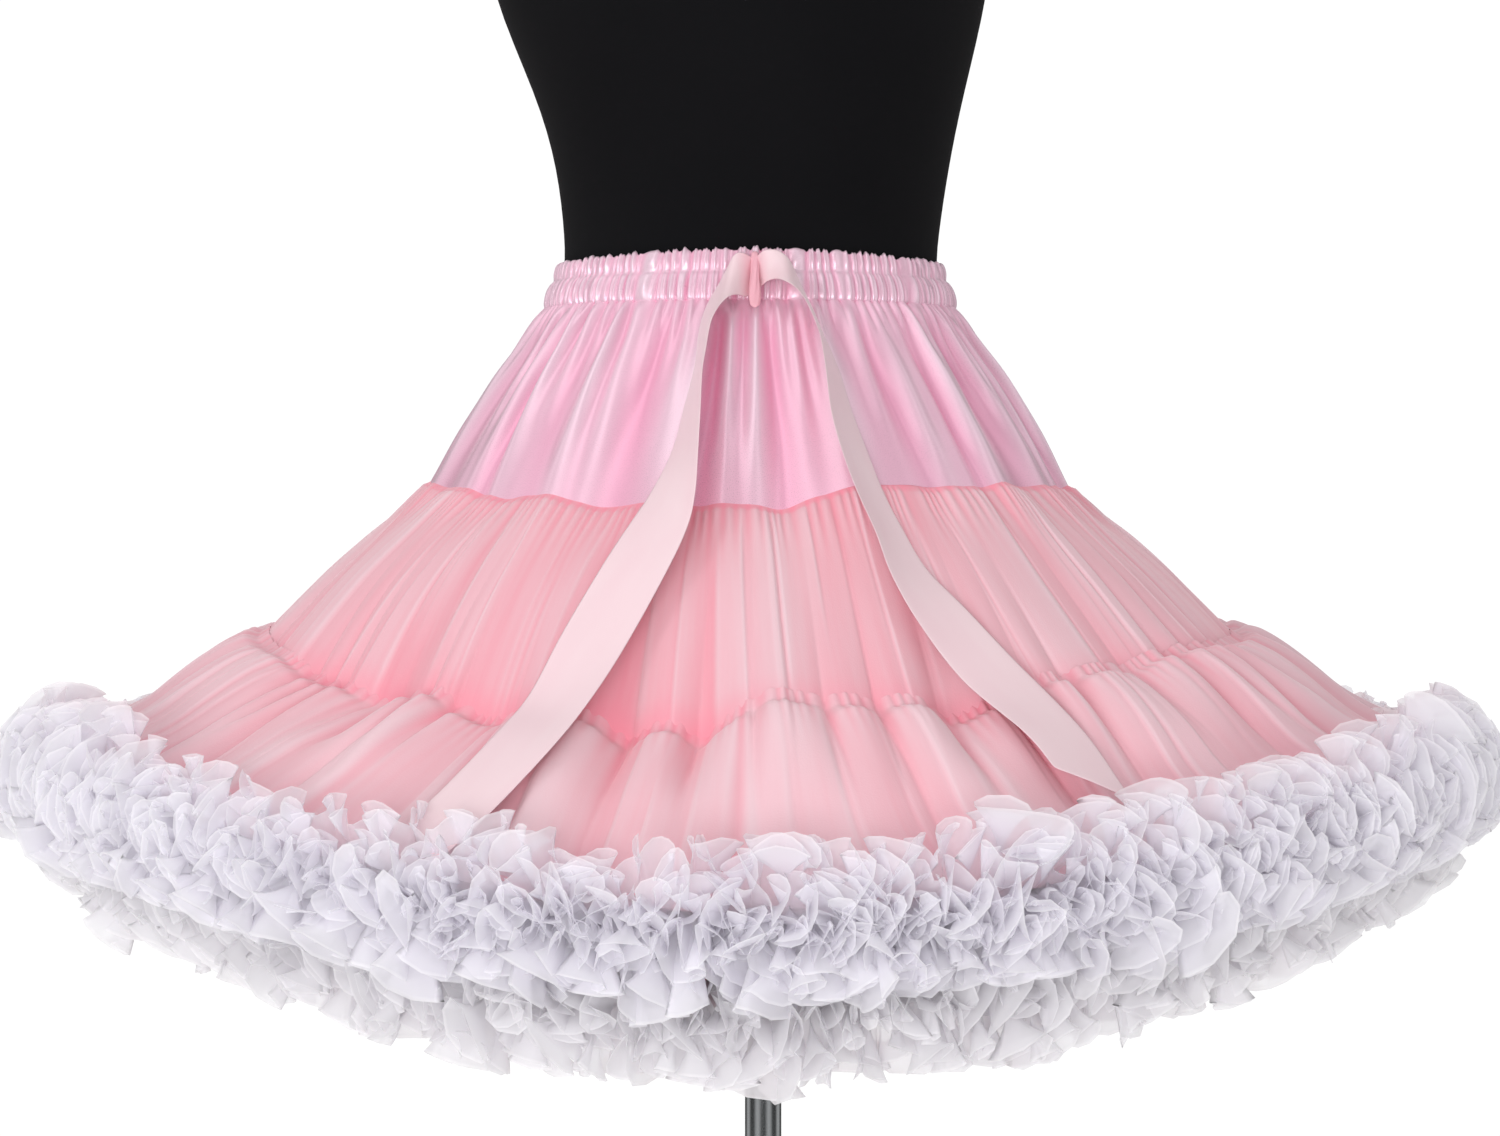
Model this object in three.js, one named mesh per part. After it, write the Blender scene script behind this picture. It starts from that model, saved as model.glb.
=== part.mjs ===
import * as THREE from 'three';

// A tulle petticoat skirt worn by a limbless dress form on a pole stand.
// Lengths are millimetres and angles radians, +Z is up and the front faces -Y.
// The origin is the middle of the base's underside, on the floor.

// Driving dimensions
const WAIST_TOP = 1060; // the skirt's top edge above the floor
const WAIST_HALF_WIDTH = 124.5; // the form at its narrowest
const WAIST_HALF_DEPTH = 95.5;
const FORM_LEAN = -9; // the form's middle, sideways of the pole
const POLE_RADIUS = 12.5;
const BASE_RADIUS = 165;
const SEAM_GAP = 0.35; // between pieces that are sewn or seated together
const RIBBON_WIDTH = 38; // less where it is gathered up at the knot

// Cloth thicknesses
const CASING_WALL = 2.4; // folded satin with elastic inside
const SATIN_WALL = 1.4;
const TULLE_WALL = 1.2;
const RUFFLE_WALL = 1.4;
const RIBBON_WALL = 1.0;

// Pieces that are sewn together are worked out at the same angles, so that their seams match point by point.
const SEGMENTS = 112;
const UNDER_SEGMENTS = SEGMENTS / 2;
const FORM_SEGMENTS = 40;

// The hem hangs lower at the front and back than at the sides, and a higher power narrows that dip.
const SAG_POWER = 3.5;

// Colours as seen on the real skirt and form
const COLOURS = {
  satin: 0xefb4d4,
  tulle: 0xf4b3bf,
  underTulle: 0xf19cac,
  ruffle: 0xf1eff5,
  underRuffle: 0xece7e6,
  ribbon: 0xf8d3da,
  jersey: 0x15151a,
  chrome: 0xc9ccd0,
};

const cloth = (color) => new THREE.MeshStandardMaterial({ color, roughness: 0.75, metalness: 0 });
const satinLike = (color) => new THREE.MeshStandardMaterial({ color, roughness: 0.35, metalness: 0 });
const metal = (color) => new THREE.MeshStandardMaterial({ color, roughness: 0.15, metalness: 1 });

// A pattern gives, at each angle, how far a piece's folds stand out, from -1 in a trough to 1 on a crest.
// The folds are uneven in width and depth, as cloth's are.
function folds(count, start) {
  const lobes = { wide: 2, narrow: 5, deep: 3 };
  return (angle) => {
    const shifted = count * angle + 0.9 * Math.sin(lobes.wide * angle + start) +
      0.5 * Math.sin(lobes.narrow * angle + 2 * start);
    const depth = 0.82 + 0.18 * Math.sin(lobes.deep * angle + start);
    return depth * Math.cos(shifted);
  };
}

// Gathers drawn up by elastic: one crest and one trough to each pair of the wall's angles.
function gathers(count) {
  return (angle) => Math.cos(count * angle);
}

const PATTERNS = {
  casing: gathers(SEGMENTS / 2),
  yoke: folds(24, 0.4),
  tierUpper: folds(24, 2.1),
  tierLower: folds(28, 4.0),
  ruffle: folds(36, 1.2),
  underRuffle: folds(28, 5.1),
  plain: () => 0,
};

// Cloth tables: each row is one ring round the skirt. The drops are down from the skirt's top edge at the
// sides and at the front, and the half sizes are out from the middle. foldOut and foldUp say how far the
// piece's own folds stand out and up there, and seamOut and seamUp how far it follows the folds of the
// piece that it is sewn to.
const CLOTH_COLUMNS = [
  'sideDrop', 'frontDrop', 'halfWidth', 'halfDepth', 'foldOut', 'foldUp', 'seamOut', 'seamUp',
];
const clothTable = (rows) => rows.map((row) => (
  Object.fromEntries(CLOTH_COLUMNS.map((column, place) => [column, row[place]]))
));

// The casing's rows need only their drop, how far they stand out from the form, and their gathers.
const CASING = [
  { drop: 0, out: 4.6, gatherOut: 1.2 },
  { drop: 5, out: 4.2, gatherOut: 0.9 },
  { drop: 11, out: 7.4, gatherOut: 1.5 },
  { drop: 17, out: 7.2, gatherOut: 0.9 },
  { drop: 24, out: 11.0, gatherOut: 1.6 },
  { drop: 31, out: 12.0, gatherOut: 1.0 },
].map(({ drop, out, gatherOut }) => ({
  sideDrop: drop,
  frontDrop: drop,
  halfWidth: WAIST_HALF_WIDTH + out,
  halfDepth: WAIST_HALF_DEPTH + out,
  foldOut: gatherOut,
  foldUp: 0,
  seamOut: 0,
  seamUp: 0,
}));

// Satin, smooth in soft folds from the waist's gathers.
const YOKE = clothTable([
  [31.5, 31.5, 136.8, 107.8, 0, 0, 1.0, 0],
  [62, 62, 158, 129, 2.6, 1.5, 0, 0],
  [105, 107, 187, 157.5, 4.5, 2.5, 0, 0],
  [151, 155, 214, 185, 3.4, 3, 0, 0],
]);

// The outer layer's two gathered tulle tiers.
const TIER_UPPER = clothTable([
  [151.4, 155.4, 214.4, 185.3, 0, 0, 3.4, 3],
  [168, 176, 236, 204, 2.4, 2.2, 1, 1],
  [208, 225, 280, 242, 4.6, 4.4, 0, 0],
  [257, 272, 320, 275, 6.5, 5.5, 0, 0],
]);

const TIER_LOWER = clothTable([
  [257.3, 272.4, 320.5, 275.4, 0, 0, 6.5, 5.5],
  [267, 290, 350, 298, 3.5, 4, 3, 2.5],
  [294, 328, 404, 341, 5.5, 7, 0, 0],
  [318, 364, 456, 380, 4, 5.5, 0, 0],
]);

// The under layer hangs smooth and a little lower inside the outer one.
const UNDER_TIER_UPPER = clothTable([
  [155.2, 159.2, 209, 180, 0, 0, 0, 0],
  [208, 222, 258, 224, 0, 0, 0, 0],
  [272, 292, 304, 258, 0, 0, 0, 0],
]);

const UNDER_TIER_LOWER = clothTable([
  [272.4, 292.4, 304.4, 258.2, 0, 0, 0, 0],
  [318, 352, 370, 310, 0, 0, 0, 0],
  [360, 421, 431, 361, 0, 0, 0, 0],
]);

// A ruffle is a strip gathered along its middle onto a tier's lower edge, so both its edges stand free.
// Its rows run from the upper free edge, over the stitched middle, to the lower free edge.
const RUFFLE_SECTION = [
  { out: 16, up: 31, waveOut: 5, waveUp: -3 },
  { out: 10, up: 16, waveOut: 3.5, waveUp: -2 },
  { out: 0, up: 0, waveOut: 0, waveUp: 0 },
  { out: 14, up: -15, waveOut: 4, waveUp: 3 },
  { out: 24, up: -36, waveOut: 8, waveUp: 4 },
];

const UNDER_RUFFLE_SECTION = [
  { out: 12, up: 20, waveOut: 3, waveUp: -2 },
  { out: 7, up: 10, waveOut: 2, waveUp: -1 },
  { out: 0, up: 0, waveOut: 0, waveUp: 0 },
  { out: 10, up: -14, waveOut: 4, waveUp: 3 },
  { out: 18, up: -35, waveOut: 7, waveUp: 4 },
];

// The ribbon's two tails lie on the skirt's folds. drop is down the front, turn is degrees round from the
// middle of the front, lift is out from the folds' crests, and roll turns the ribbon about its own length.
// It is gathered up narrow where it leaves the knot.
const RIBBON_LEFT = [
  { drop: 12, turn: -2.6, lift: 4, roll: 0, width: 9 },
  { drop: 15, turn: -5.8, lift: 8, roll: 0, width: 10 },
  { drop: 28, turn: -9.4, lift: 14, roll: 30, width: 13 },
  { drop: 47, turn: -11.2, lift: 19, roll: 66, width: 26 },
  { drop: 73, turn: -11.2, lift: 21, roll: 74, width: RIBBON_WIDTH },
  { drop: 93, turn: -10.9, lift: 21, roll: 62, width: RIBBON_WIDTH },
  { drop: 139, turn: -11.1, lift: 16, roll: 36, width: RIBBON_WIDTH },
  { drop: 162, turn: -12.4, lift: 12, roll: 16, width: RIBBON_WIDTH },
  { drop: 194, turn: -14, lift: 8, roll: 4, width: RIBBON_WIDTH },
  { drop: 244, turn: -17.3, lift: 6, roll: 0, width: RIBBON_WIDTH },
  { drop: 301, turn: -19.6, lift: 6, roll: 0, width: RIBBON_WIDTH },
  { drop: 333, turn: -21.4, lift: 8, roll: 0, width: RIBBON_WIDTH },
  { drop: 356, turn: -22.6, lift: 14, roll: 0, width: RIBBON_WIDTH },
];

const RIBBON_RIGHT = [
  { drop: 12, turn: 4.3, lift: 4, roll: 0, width: 9 },
  { drop: 14, turn: 8.4, lift: 8, roll: 0, width: 10 },
  { drop: 26, turn: 12.6, lift: 14, roll: -24, width: 12 },
  { drop: 43, turn: 15.2, lift: 19, roll: -60, width: 26 },
  { drop: 66, turn: 16.7, lift: 21, roll: -76, width: RIBBON_WIDTH },
  { drop: 93, turn: 17.2, lift: 21, roll: -66, width: RIBBON_WIDTH },
  { drop: 140, turn: 19.4, lift: 17, roll: -50, width: RIBBON_WIDTH },
  { drop: 163, turn: 20.5, lift: 14, roll: -40, width: RIBBON_WIDTH },
  { drop: 187, turn: 21.2, lift: 10, roll: -24, width: RIBBON_WIDTH },
  { drop: 217, turn: 22, lift: 7, roll: -6, width: RIBBON_WIDTH },
  { drop: 263, turn: 25.2, lift: 6, roll: 0, width: RIBBON_WIDTH },
  { drop: 302, turn: 26.9, lift: 6, roll: 0, width: RIBBON_WIDTH },
  { drop: 332, turn: 26.7, lift: 9, roll: 0, width: RIBBON_WIDTH },
];

// The ribbon's crossing at the middle of the front, from its top edge down to its hanging tip.
const RIBBON_KNOT = [
  { drop: 3, halfWidth: 5, halfDepth: 1.6 },
  { drop: 10, halfWidth: 7, halfDepth: 2.6 },
  { drop: 26, halfWidth: 6, halfDepth: 2.8 },
  { drop: 38, halfWidth: 3.6, halfDepth: 1.8 },
  { drop: 52, halfWidth: 4.2, halfDepth: 1.2 },
  { drop: 56, halfWidth: 1.2, halfDepth: 0.6 },
];
const KNOT_TURN = 1.2; // degrees round from the middle of the front
const KNOT_LIFT = 0.6; // clear of the gathers' crests

// The dress form's torso: each row is one level above the skirt's top edge, from its flat foot to its neck.
// sideways and forward move a level to the viewer's right and towards the front.
const TORSO = [
  { above: -310, halfWidth: 146, halfDepth: 103, sideways: 0, forward: 0 },
  { above: -304, halfWidth: 153, halfDepth: 109, sideways: 0, forward: 0 },
  { above: -250, halfWidth: 168, halfDepth: 119, sideways: 0, forward: 0 },
  { above: -190, halfWidth: 172, halfDepth: 122, sideways: 0, forward: 0 },
  { above: -120, halfWidth: 160, halfDepth: 115, sideways: 0, forward: 0 },
  { above: -60, halfWidth: 139, halfDepth: 104, sideways: 0, forward: 0 },
  { above: -12, halfWidth: WAIST_HALF_WIDTH, halfDepth: WAIST_HALF_DEPTH, sideways: 0, forward: 0 },
  { above: 15, halfWidth: 125.4, halfDepth: 96.4, sideways: 1, forward: 0 },
  { above: 62, halfWidth: 131, halfDepth: 101, sideways: 2, forward: 3 },
  { above: 109, halfWidth: 142, halfDepth: 109, sideways: 0, forward: 8 },
  { above: 177, halfWidth: 166, halfDepth: 123, sideways: -7, forward: 14 },
  { above: 235, halfWidth: 171, halfDepth: 116, sideways: -8, forward: 8 },
  { above: 295, halfWidth: 178, halfDepth: 96, sideways: -8, forward: 0 },
  { above: 340, halfWidth: 174, halfDepth: 78, sideways: -8, forward: -4 },
  { above: 368, halfWidth: 148, halfDepth: 68, sideways: -8, forward: -5 },
  { above: 388, halfWidth: 98, halfDepth: 60, sideways: -8, forward: -4 },
  { above: 408, halfWidth: 64, halfDepth: 54, sideways: -8, forward: -2 },
  { above: 462, halfWidth: 55, halfDepth: 52, sideways: -8, forward: 0 },
];
const NECK_CAP = { radius: 52, height: 10, bevel: 3 };
const BASE = { plate: 8, edge: 3, hubRadius: 24, hubHeight: 46, socketFloor: 6 };

const fullTurn = 2 * Math.PI;
const radians = (degrees) => THREE.MathUtils.degToRad(degrees);

// The point of a cloth row at an angle, with its folds.
function ringPoint(row, angle, own, sewnTo) {
  const side = Math.cos(angle);
  const front = Math.sin(angle);
  const dip = Math.abs(front) ** SAG_POWER;
  const drop = row.sideDrop + (row.frontDrop - row.sideDrop) * dip;
  const out = row.foldOut * own(angle) + row.seamOut * sewnTo(angle);
  const up = row.foldUp * own(angle) + row.seamUp * sewnTo(angle);
  const height = WAIST_TOP - drop + up;
  return new THREE.Vector3((row.halfWidth + out) * side, (row.halfDepth + out) * front, height);
}

// A closed mesh over rings of points, each ring joined to the next. The last ring joins the first on a wall,
// and on a solid the two end rings are closed with caps. turnsBack says which faces lie on the far side of a
// thin wall, where the faces are halved the other way, so that both sides bend alike.
function meshOverRings(rings, { isWall, turnsBack = () => false }) {
  const count = rings[0].length;
  const faces = [];
  const bands = isWall ? rings.length : rings.length - 1;
  for (let ring = 0; ring < bands; ring += 1) {
    const here = ring * count;
    const below = ((ring + 1) % rings.length) * count;
    for (let step = 0; step < count; step += 1) {
      const next = (step + 1) % count;
      if (turnsBack(ring, step)) {
        faces.push(here + step, below + step, below + next);
        faces.push(here + step, below + next, here + next);
      } else {
        faces.push(here + step, below + step, here + next);
        faces.push(here + next, below + step, below + next);
      }
    }
  }
  if (!isWall) {
    const last = (rings.length - 1) * count;
    for (let step = 1; step < count - 1; step += 1) {
      faces.push(0, step, step + 1);
      faces.push(last, last + step + 1, last + step);
    }
  }
  const geometry = new THREE.BufferGeometry().setFromPoints(rings.flat());
  geometry.setIndex(faces);
  geometry.computeVertexNormals();
  return geometry;
}

// A cloth tube: the table's rings are its outside, and its inside is the same points moved in by the wall,
// square to the piece as it would lie without its folds.
function clothWall(rows, { own = PATTERNS.plain, sewnTo = PATTERNS.plain, wall, segments = SEGMENTS }) {
  const angles = Array.from({ length: segments }, (unused, step) => (step * fullTurn) / segments);
  const outside = rows.map((row) => angles.map((angle) => ringPoint(row, angle, own, sewnTo)));
  const smooth = rows.map((row) => angles.map((angle) => (
    ringPoint(row, angle, PATTERNS.plain, PATTERNS.plain)
  )));
  const inside = outside.map((ring, level) => ring.map((point, step) => {
    const above = smooth[Math.max(level - 1, 0)][step];
    const below = smooth[Math.min(level + 1, smooth.length - 1)][step];
    const before = smooth[level][(step + segments - 1) % segments];
    const after = smooth[level][(step + 1) % segments];
    const down = below.clone().sub(above);
    const round = after.clone().sub(before);
    return point.clone().addScaledVector(down.cross(round).normalize(), -wall);
  }));
  const turnsBack = (ring) => ring >= rows.length;
  return meshOverRings([...outside, ...inside.reverse()], { isWall: true, turnsBack });
}

// The rows of a ruffle sewn to a tier's lowest ring, one wall and one seam gap out from it.
function ruffleRows(tier, section, wall) {
  const edge = tier[tier.length - 1];
  return section.map((row) => ({
    sideDrop: edge.sideDrop - row.up,
    frontDrop: edge.frontDrop - row.up,
    halfWidth: edge.halfWidth + wall + SEAM_GAP + row.out,
    halfDepth: edge.halfDepth + wall + SEAM_GAP + row.out,
    foldOut: row.waveOut,
    foldUp: row.waveUp,
    seamOut: edge.foldOut,
    seamUp: edge.foldUp,
  }));
}

// The skirt's outside as one smooth sheet over the folds' crests, for what lies on it.
const OUTSIDE_ROWS = [...CASING, ...YOKE, ...TIER_UPPER, ...TIER_LOWER];
function crestPoint(drop, angle, lift) {
  const after = Math.max(OUTSIDE_ROWS.findIndex((row) => row.frontDrop > drop), 1);
  const [high, low] = [OUTSIDE_ROWS[after - 1], OUTSIDE_ROWS[after]];
  const share = (drop - high.frontDrop) / (low.frontDrop - high.frontDrop);
  const row = {};
  for (const column of CLOTH_COLUMNS) {
    row[column] = THREE.MathUtils.lerp(high[column], low[column], share);
  }
  const crest = () => 1;
  const point = ringPoint(row, angle, crest, crest);
  const run = new THREE.Vector2(low.halfWidth - high.halfWidth, low.frontDrop - high.frontDrop).normalize();
  const outward = new THREE.Vector3(Math.cos(angle) * run.y, Math.sin(angle) * run.y, run.x);
  return { point: point.addScaledVector(outward, lift), outward };
}

// Values between a table's rows, as a smooth curve through them.
function between(rows, column, share) {
  const places = rows.map((row) => new THREE.Vector3(row[column], 0, 0));
  return new THREE.CatmullRomCurve3(places).getPoint(share).x;
}

// A flat ribbon laid along a route table.
function ribbon(route) {
  const steps = 3 * (route.length - 1);
  const reach = 2; // the ribbon's direction is taken over this many steps each way
  const middle = [];
  for (let step = 0; step <= steps; step += 1) {
    const share = step / steps;
    const angle = radians(between(route, 'turn', share) - 90);
    const lift = between(route, 'lift', share);
    const { point, outward } = crestPoint(between(route, 'drop', share), angle, lift);
    const halfWidth = between(route, 'width', share) / 2;
    middle.push({ point, outward, halfWidth, roll: radians(between(route, 'roll', share)) });
  }
  const sections = middle.map(({ point, outward, halfWidth, roll }, step) => {
    const before = middle[Math.max(step - reach, 0)].point;
    const after = middle[Math.min(step + reach, steps)].point;
    const along = after.clone().sub(before).normalize();
    const across = new THREE.Vector3().crossVectors(along, outward).normalize().applyAxisAngle(along, roll);
    const face = new THREE.Vector3().crossVectors(across, along);
    const corner = (side, out) => point.clone()
      .addScaledVector(across, side * halfWidth)
      .addScaledVector(face, (out * RIBBON_WALL) / 2);
    return [corner(-1, -1), corner(1, -1), corner(1, 1), corner(-1, 1)];
  });
  const turnsBack = (ring, corner) => corner >= 2;
  return meshOverRings(sections, { isWall: false, turnsBack });
}

// Ovals at several levels, stacked from the top down into one solid.
function stack(levels, segments) {
  const angles = Array.from({ length: segments }, (unused, step) => (step * fullTurn) / segments);
  const rings = levels.map(({ middle, halfWidth, halfDepth }) => angles.map((angle) => (
    new THREE.Vector3(halfWidth * Math.cos(angle), halfDepth * Math.sin(angle), 0).add(middle)
  )));
  return meshOverRings(rings, { isWall: false });
}

function torso() {
  const levels = TORSO.map((row) => ({
    ...row,
    middle: new THREE.Vector3(row.sideways, -row.forward, WAIST_TOP + row.above),
  }));
  return stack(levels.reverse(), FORM_SEGMENTS);
}

function ribbonKnot() {
  const segments = 10;
  const levels = RIBBON_KNOT.map((row) => {
    const { point } = crestPoint(row.drop, radians(KNOT_TURN - 90), row.halfDepth + KNOT_LIFT);
    return { ...row, middle: point };
  });
  return stack(levels, segments);
}

// A turned piece, from the points of its profile as distance from the axis and height.
function turned(profile, segments) {
  const outline = profile.map(([radius, height]) => new THREE.Vector2(radius, height));
  return new THREE.LatheGeometry(outline, segments).rotateX(Math.PI / 2);
}

function basePlate() {
  const socket = POLE_RADIUS + SEAM_GAP;
  return turned([
    [0, 0],
    [BASE_RADIUS - BASE.edge, 0],
    [BASE_RADIUS, BASE.edge],
    [BASE_RADIUS - BASE.edge, BASE.plate],
    [BASE.hubRadius + 10, BASE.plate + 4],
    [BASE.hubRadius, BASE.plate + 12],
    [BASE.hubRadius, BASE.hubHeight],
    [socket, BASE.hubHeight],
    [socket, BASE.socketFloor],
    [0, BASE.socketFloor],
  ], 48);
}

function pole() {
  const foot = BASE.socketFloor + SEAM_GAP;
  const top = WAIST_TOP + TORSO[0].above - SEAM_GAP;
  return turned([[0, foot], [POLE_RADIUS, foot], [POLE_RADIUS, top], [0, top]], 32);
}

function neckCap() {
  const { radius, height, bevel } = NECK_CAP;
  const neck = TORSO[TORSO.length - 1];
  const foot = WAIST_TOP + neck.above + SEAM_GAP;
  return turned([
    [0, foot],
    [radius, foot],
    [radius, foot + height - bevel],
    [radius - bevel, foot + height],
    [0, foot + height],
  ], 32).translate(neck.sideways, -neck.forward, 0);
}

const object = new THREE.Group();
const formAndSkirt = new THREE.Group();
formAndSkirt.position.x = FORM_LEAN;
object.add(formAndSkirt);

function add(parent, name, geometry, material) {
  const mesh = new THREE.Mesh(geometry, material);
  mesh.name = name;
  parent.add(mesh);
}

add(object, 'stand_base', basePlate(), metal(COLOURS.chrome));
add(object, 'stand_pole', pole(), metal(COLOURS.chrome));
add(formAndSkirt, 'form_torso', torso(), cloth(COLOURS.jersey));
add(formAndSkirt, 'form_neck_cap', neckCap(), cloth(COLOURS.jersey));

// The outer layer
add(formAndSkirt, 'waist_casing', clothWall(CASING, { own: PATTERNS.casing, wall: CASING_WALL }),
  satinLike(COLOURS.satin));
add(formAndSkirt, 'yoke',
  clothWall(YOKE, { own: PATTERNS.yoke, sewnTo: PATTERNS.casing, wall: SATIN_WALL }),
  satinLike(COLOURS.satin));
add(formAndSkirt, 'tier_upper',
  clothWall(TIER_UPPER, { own: PATTERNS.tierUpper, sewnTo: PATTERNS.yoke, wall: TULLE_WALL }),
  cloth(COLOURS.tulle));
add(formAndSkirt, 'tier_lower',
  clothWall(TIER_LOWER, { own: PATTERNS.tierLower, sewnTo: PATTERNS.tierUpper, wall: TULLE_WALL }),
  cloth(COLOURS.tulle));
add(formAndSkirt, 'hem_ruffle',
  clothWall(ruffleRows(TIER_LOWER, RUFFLE_SECTION, RUFFLE_WALL),
    { own: PATTERNS.ruffle, sewnTo: PATTERNS.tierLower, wall: RUFFLE_WALL }),
  cloth(COLOURS.ruffle));

// The under layer
add(formAndSkirt, 'under_tier_upper',
  clothWall(UNDER_TIER_UPPER, { wall: TULLE_WALL, segments: UNDER_SEGMENTS }),
  cloth(COLOURS.underTulle));
add(formAndSkirt, 'under_tier_lower',
  clothWall(UNDER_TIER_LOWER, { wall: TULLE_WALL, segments: UNDER_SEGMENTS }),
  cloth(COLOURS.underTulle));
add(formAndSkirt, 'under_ruffle',
  clothWall(ruffleRows(UNDER_TIER_LOWER, UNDER_RUFFLE_SECTION, RUFFLE_WALL),
    { own: PATTERNS.underRuffle, wall: RUFFLE_WALL }),
  cloth(COLOURS.underRuffle));

// The ribbon tie
add(formAndSkirt, 'ribbon_left', ribbon(RIBBON_LEFT), satinLike(COLOURS.ribbon));
add(formAndSkirt, 'ribbon_right', ribbon(RIBBON_RIGHT), satinLike(COLOURS.ribbon));
add(formAndSkirt, 'ribbon_knot', ribbonKnot(), satinLike(COLOURS.ribbon));

export default object;
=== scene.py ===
import math

import bmesh
import bpy
import numpy as np
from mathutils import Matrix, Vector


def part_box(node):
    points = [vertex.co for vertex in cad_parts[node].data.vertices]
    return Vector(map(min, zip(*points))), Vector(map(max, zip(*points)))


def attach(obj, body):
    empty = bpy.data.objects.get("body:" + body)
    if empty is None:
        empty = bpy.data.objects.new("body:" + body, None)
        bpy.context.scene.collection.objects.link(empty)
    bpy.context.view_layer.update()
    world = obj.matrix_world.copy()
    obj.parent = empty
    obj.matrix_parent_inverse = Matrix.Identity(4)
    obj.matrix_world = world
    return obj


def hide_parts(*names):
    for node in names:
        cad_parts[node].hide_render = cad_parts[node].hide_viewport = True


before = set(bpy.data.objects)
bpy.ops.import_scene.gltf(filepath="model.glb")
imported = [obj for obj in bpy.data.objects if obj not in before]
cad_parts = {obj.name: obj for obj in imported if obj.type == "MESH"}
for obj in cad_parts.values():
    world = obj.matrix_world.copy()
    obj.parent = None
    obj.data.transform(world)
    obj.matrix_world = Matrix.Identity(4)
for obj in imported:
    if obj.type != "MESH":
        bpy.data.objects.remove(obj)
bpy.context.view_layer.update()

# The camera stands 1.6 m in front of the form, a little under its waist, and looks slightly down.
# It is centred on the form, which leans 9 mm to the left of the stand's pole.
FORM_X = -0.009
EYE_HEIGHT = 0.934
EYE_DISTANCE = 1.6
LOOK_DOWN = math.radians(2.85)
camera = bpy.data.objects.new("camera", bpy.data.cameras.new("camera"))
camera.data.lens = 56.8
camera.data.sensor_width = 36
camera.location = (FORM_X, -EYE_DISTANCE, EYE_HEIGHT)
camera.rotation_euler = (math.radians(90) - LOOK_DOWN, 0, 0)
bpy.context.scene.collection.objects.link(camera)
bpy.context.scene.camera = camera

# The studio: a pale round floor, a white surround, and soft boxes above and on all sides.
# The surround is white to look at and dimmer as a light, so that the cloth keeps its shading.
# Glossy finishes see it as upright bands of light and shade, like white and black cards.
LIGHT_BOUNCES = 8  # light passes through and between the many layers of white net
scene = bpy.context.scene
scene.view_settings.view_transform = "Standard"
scene.view_settings.look = "None"
scene.cycles.max_bounces = LIGHT_BOUNCES
scene.cycles.diffuse_bounces = LIGHT_BOUNCES
scene.cycles.transmission_bounces = LIGHT_BOUNCES
scene.cycles.transparent_max_bounces = 24


def add_node(tree, kind, inputs=None, **settings):
    """A node with its settings, whose inputs are values or the sockets that feed them."""
    node = tree.nodes.new(kind)
    for name, value in settings.items():
        setattr(node, name, value)
    for name, value in (inputs or {}).items():
        if isinstance(value, bpy.types.NodeSocket):
            tree.links.new(value, node.inputs[name])
        else:
            node.inputs[name].default_value = value
    return node


def new_material(name, **values):
    """A material and its node tree and shader, with values on the shader's own sockets."""
    material = bpy.data.materials.new(name)
    material.use_nodes = True
    shader = material.node_tree.nodes["Principled BSDF"]
    for socket, value in values.items():
        shader.inputs[socket.replace("_", " ")].default_value = value
    return material, material.node_tree, shader


CARD_COUNT = 5.0
SURROUND_LIGHT = 0.66
SURROUND_SEEN = 1.05
world = bpy.data.worlds.new("studio")
world.use_nodes = True
scene.world = world
ray = add_node(world.node_tree, "ShaderNodeLightPath")
way_out = add_node(world.node_tree, "ShaderNodeTexCoord").outputs["Generated"]
way_parts = add_node(world.node_tree, "ShaderNodeSeparateXYZ", {"Vector": way_out})
azimuth = add_node(
    world.node_tree, "ShaderNodeMath", {0: way_parts.outputs["X"], 1: way_parts.outputs["Y"]},
    operation="ARCTAN2")
card_bands = add_node(
    world.node_tree, "ShaderNodeMath", {0: azimuth.outputs[0], 1: CARD_COUNT}, operation="MULTIPLY")
card_wave = add_node(world.node_tree, "ShaderNodeMath", {0: card_bands.outputs[0]}, operation="COSINE")
cards = add_node(
    world.node_tree, "ShaderNodeMapRange",
    {"Value": card_wave.outputs[0], "From Min": -0.6, "From Max": 1.0, "To Min": 0.1, "To Max": 0.75})
unseen = add_node(
    world.node_tree, "ShaderNodeMix",
    {"Factor": ray.outputs["Is Glossy Ray"], "A": SURROUND_LIGHT, "B": cards.outputs["Result"]})
strength = add_node(
    world.node_tree, "ShaderNodeMix",
    {"Factor": ray.outputs["Is Camera Ray"], "A": unseen.outputs["Result"], "B": SURROUND_SEEN})
background = world.node_tree.nodes["Background"]
background.inputs["Color"].default_value = (1.0, 1.0, 1.0, 1.0)
world.node_tree.links.new(strength.outputs["Result"], background.inputs["Strength"])

bpy.ops.object.select_all(action="DESELECT")
bpy.ops.mesh.primitive_circle_add(vertices=96, radius=1.5, fill_type="NGON", location=(0, 0, -0.0005))
floor = bpy.context.active_object
floor.name = "floor"
floor_material, floor_tree, floor_shader = new_material("pale_floor", Roughness=0.9)
floor_mottle = add_node(floor_tree, "ShaderNodeTexNoise", {"Scale": 6.0, "Detail": 3.0})
floor_tone = add_node(floor_tree, "ShaderNodeMix", {"Factor": floor_mottle.outputs["Fac"]}, data_type="RGBA")
floor_tone.inputs[6].default_value = (0.9, 0.9, 0.9, 1)
floor_tone.inputs[7].default_value = (0.94, 0.94, 0.94, 1)
floor_tree.links.new(floor_tone.outputs[2], floor_shader.inputs["Base Color"])
floor.data.materials.append(floor_material)

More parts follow.
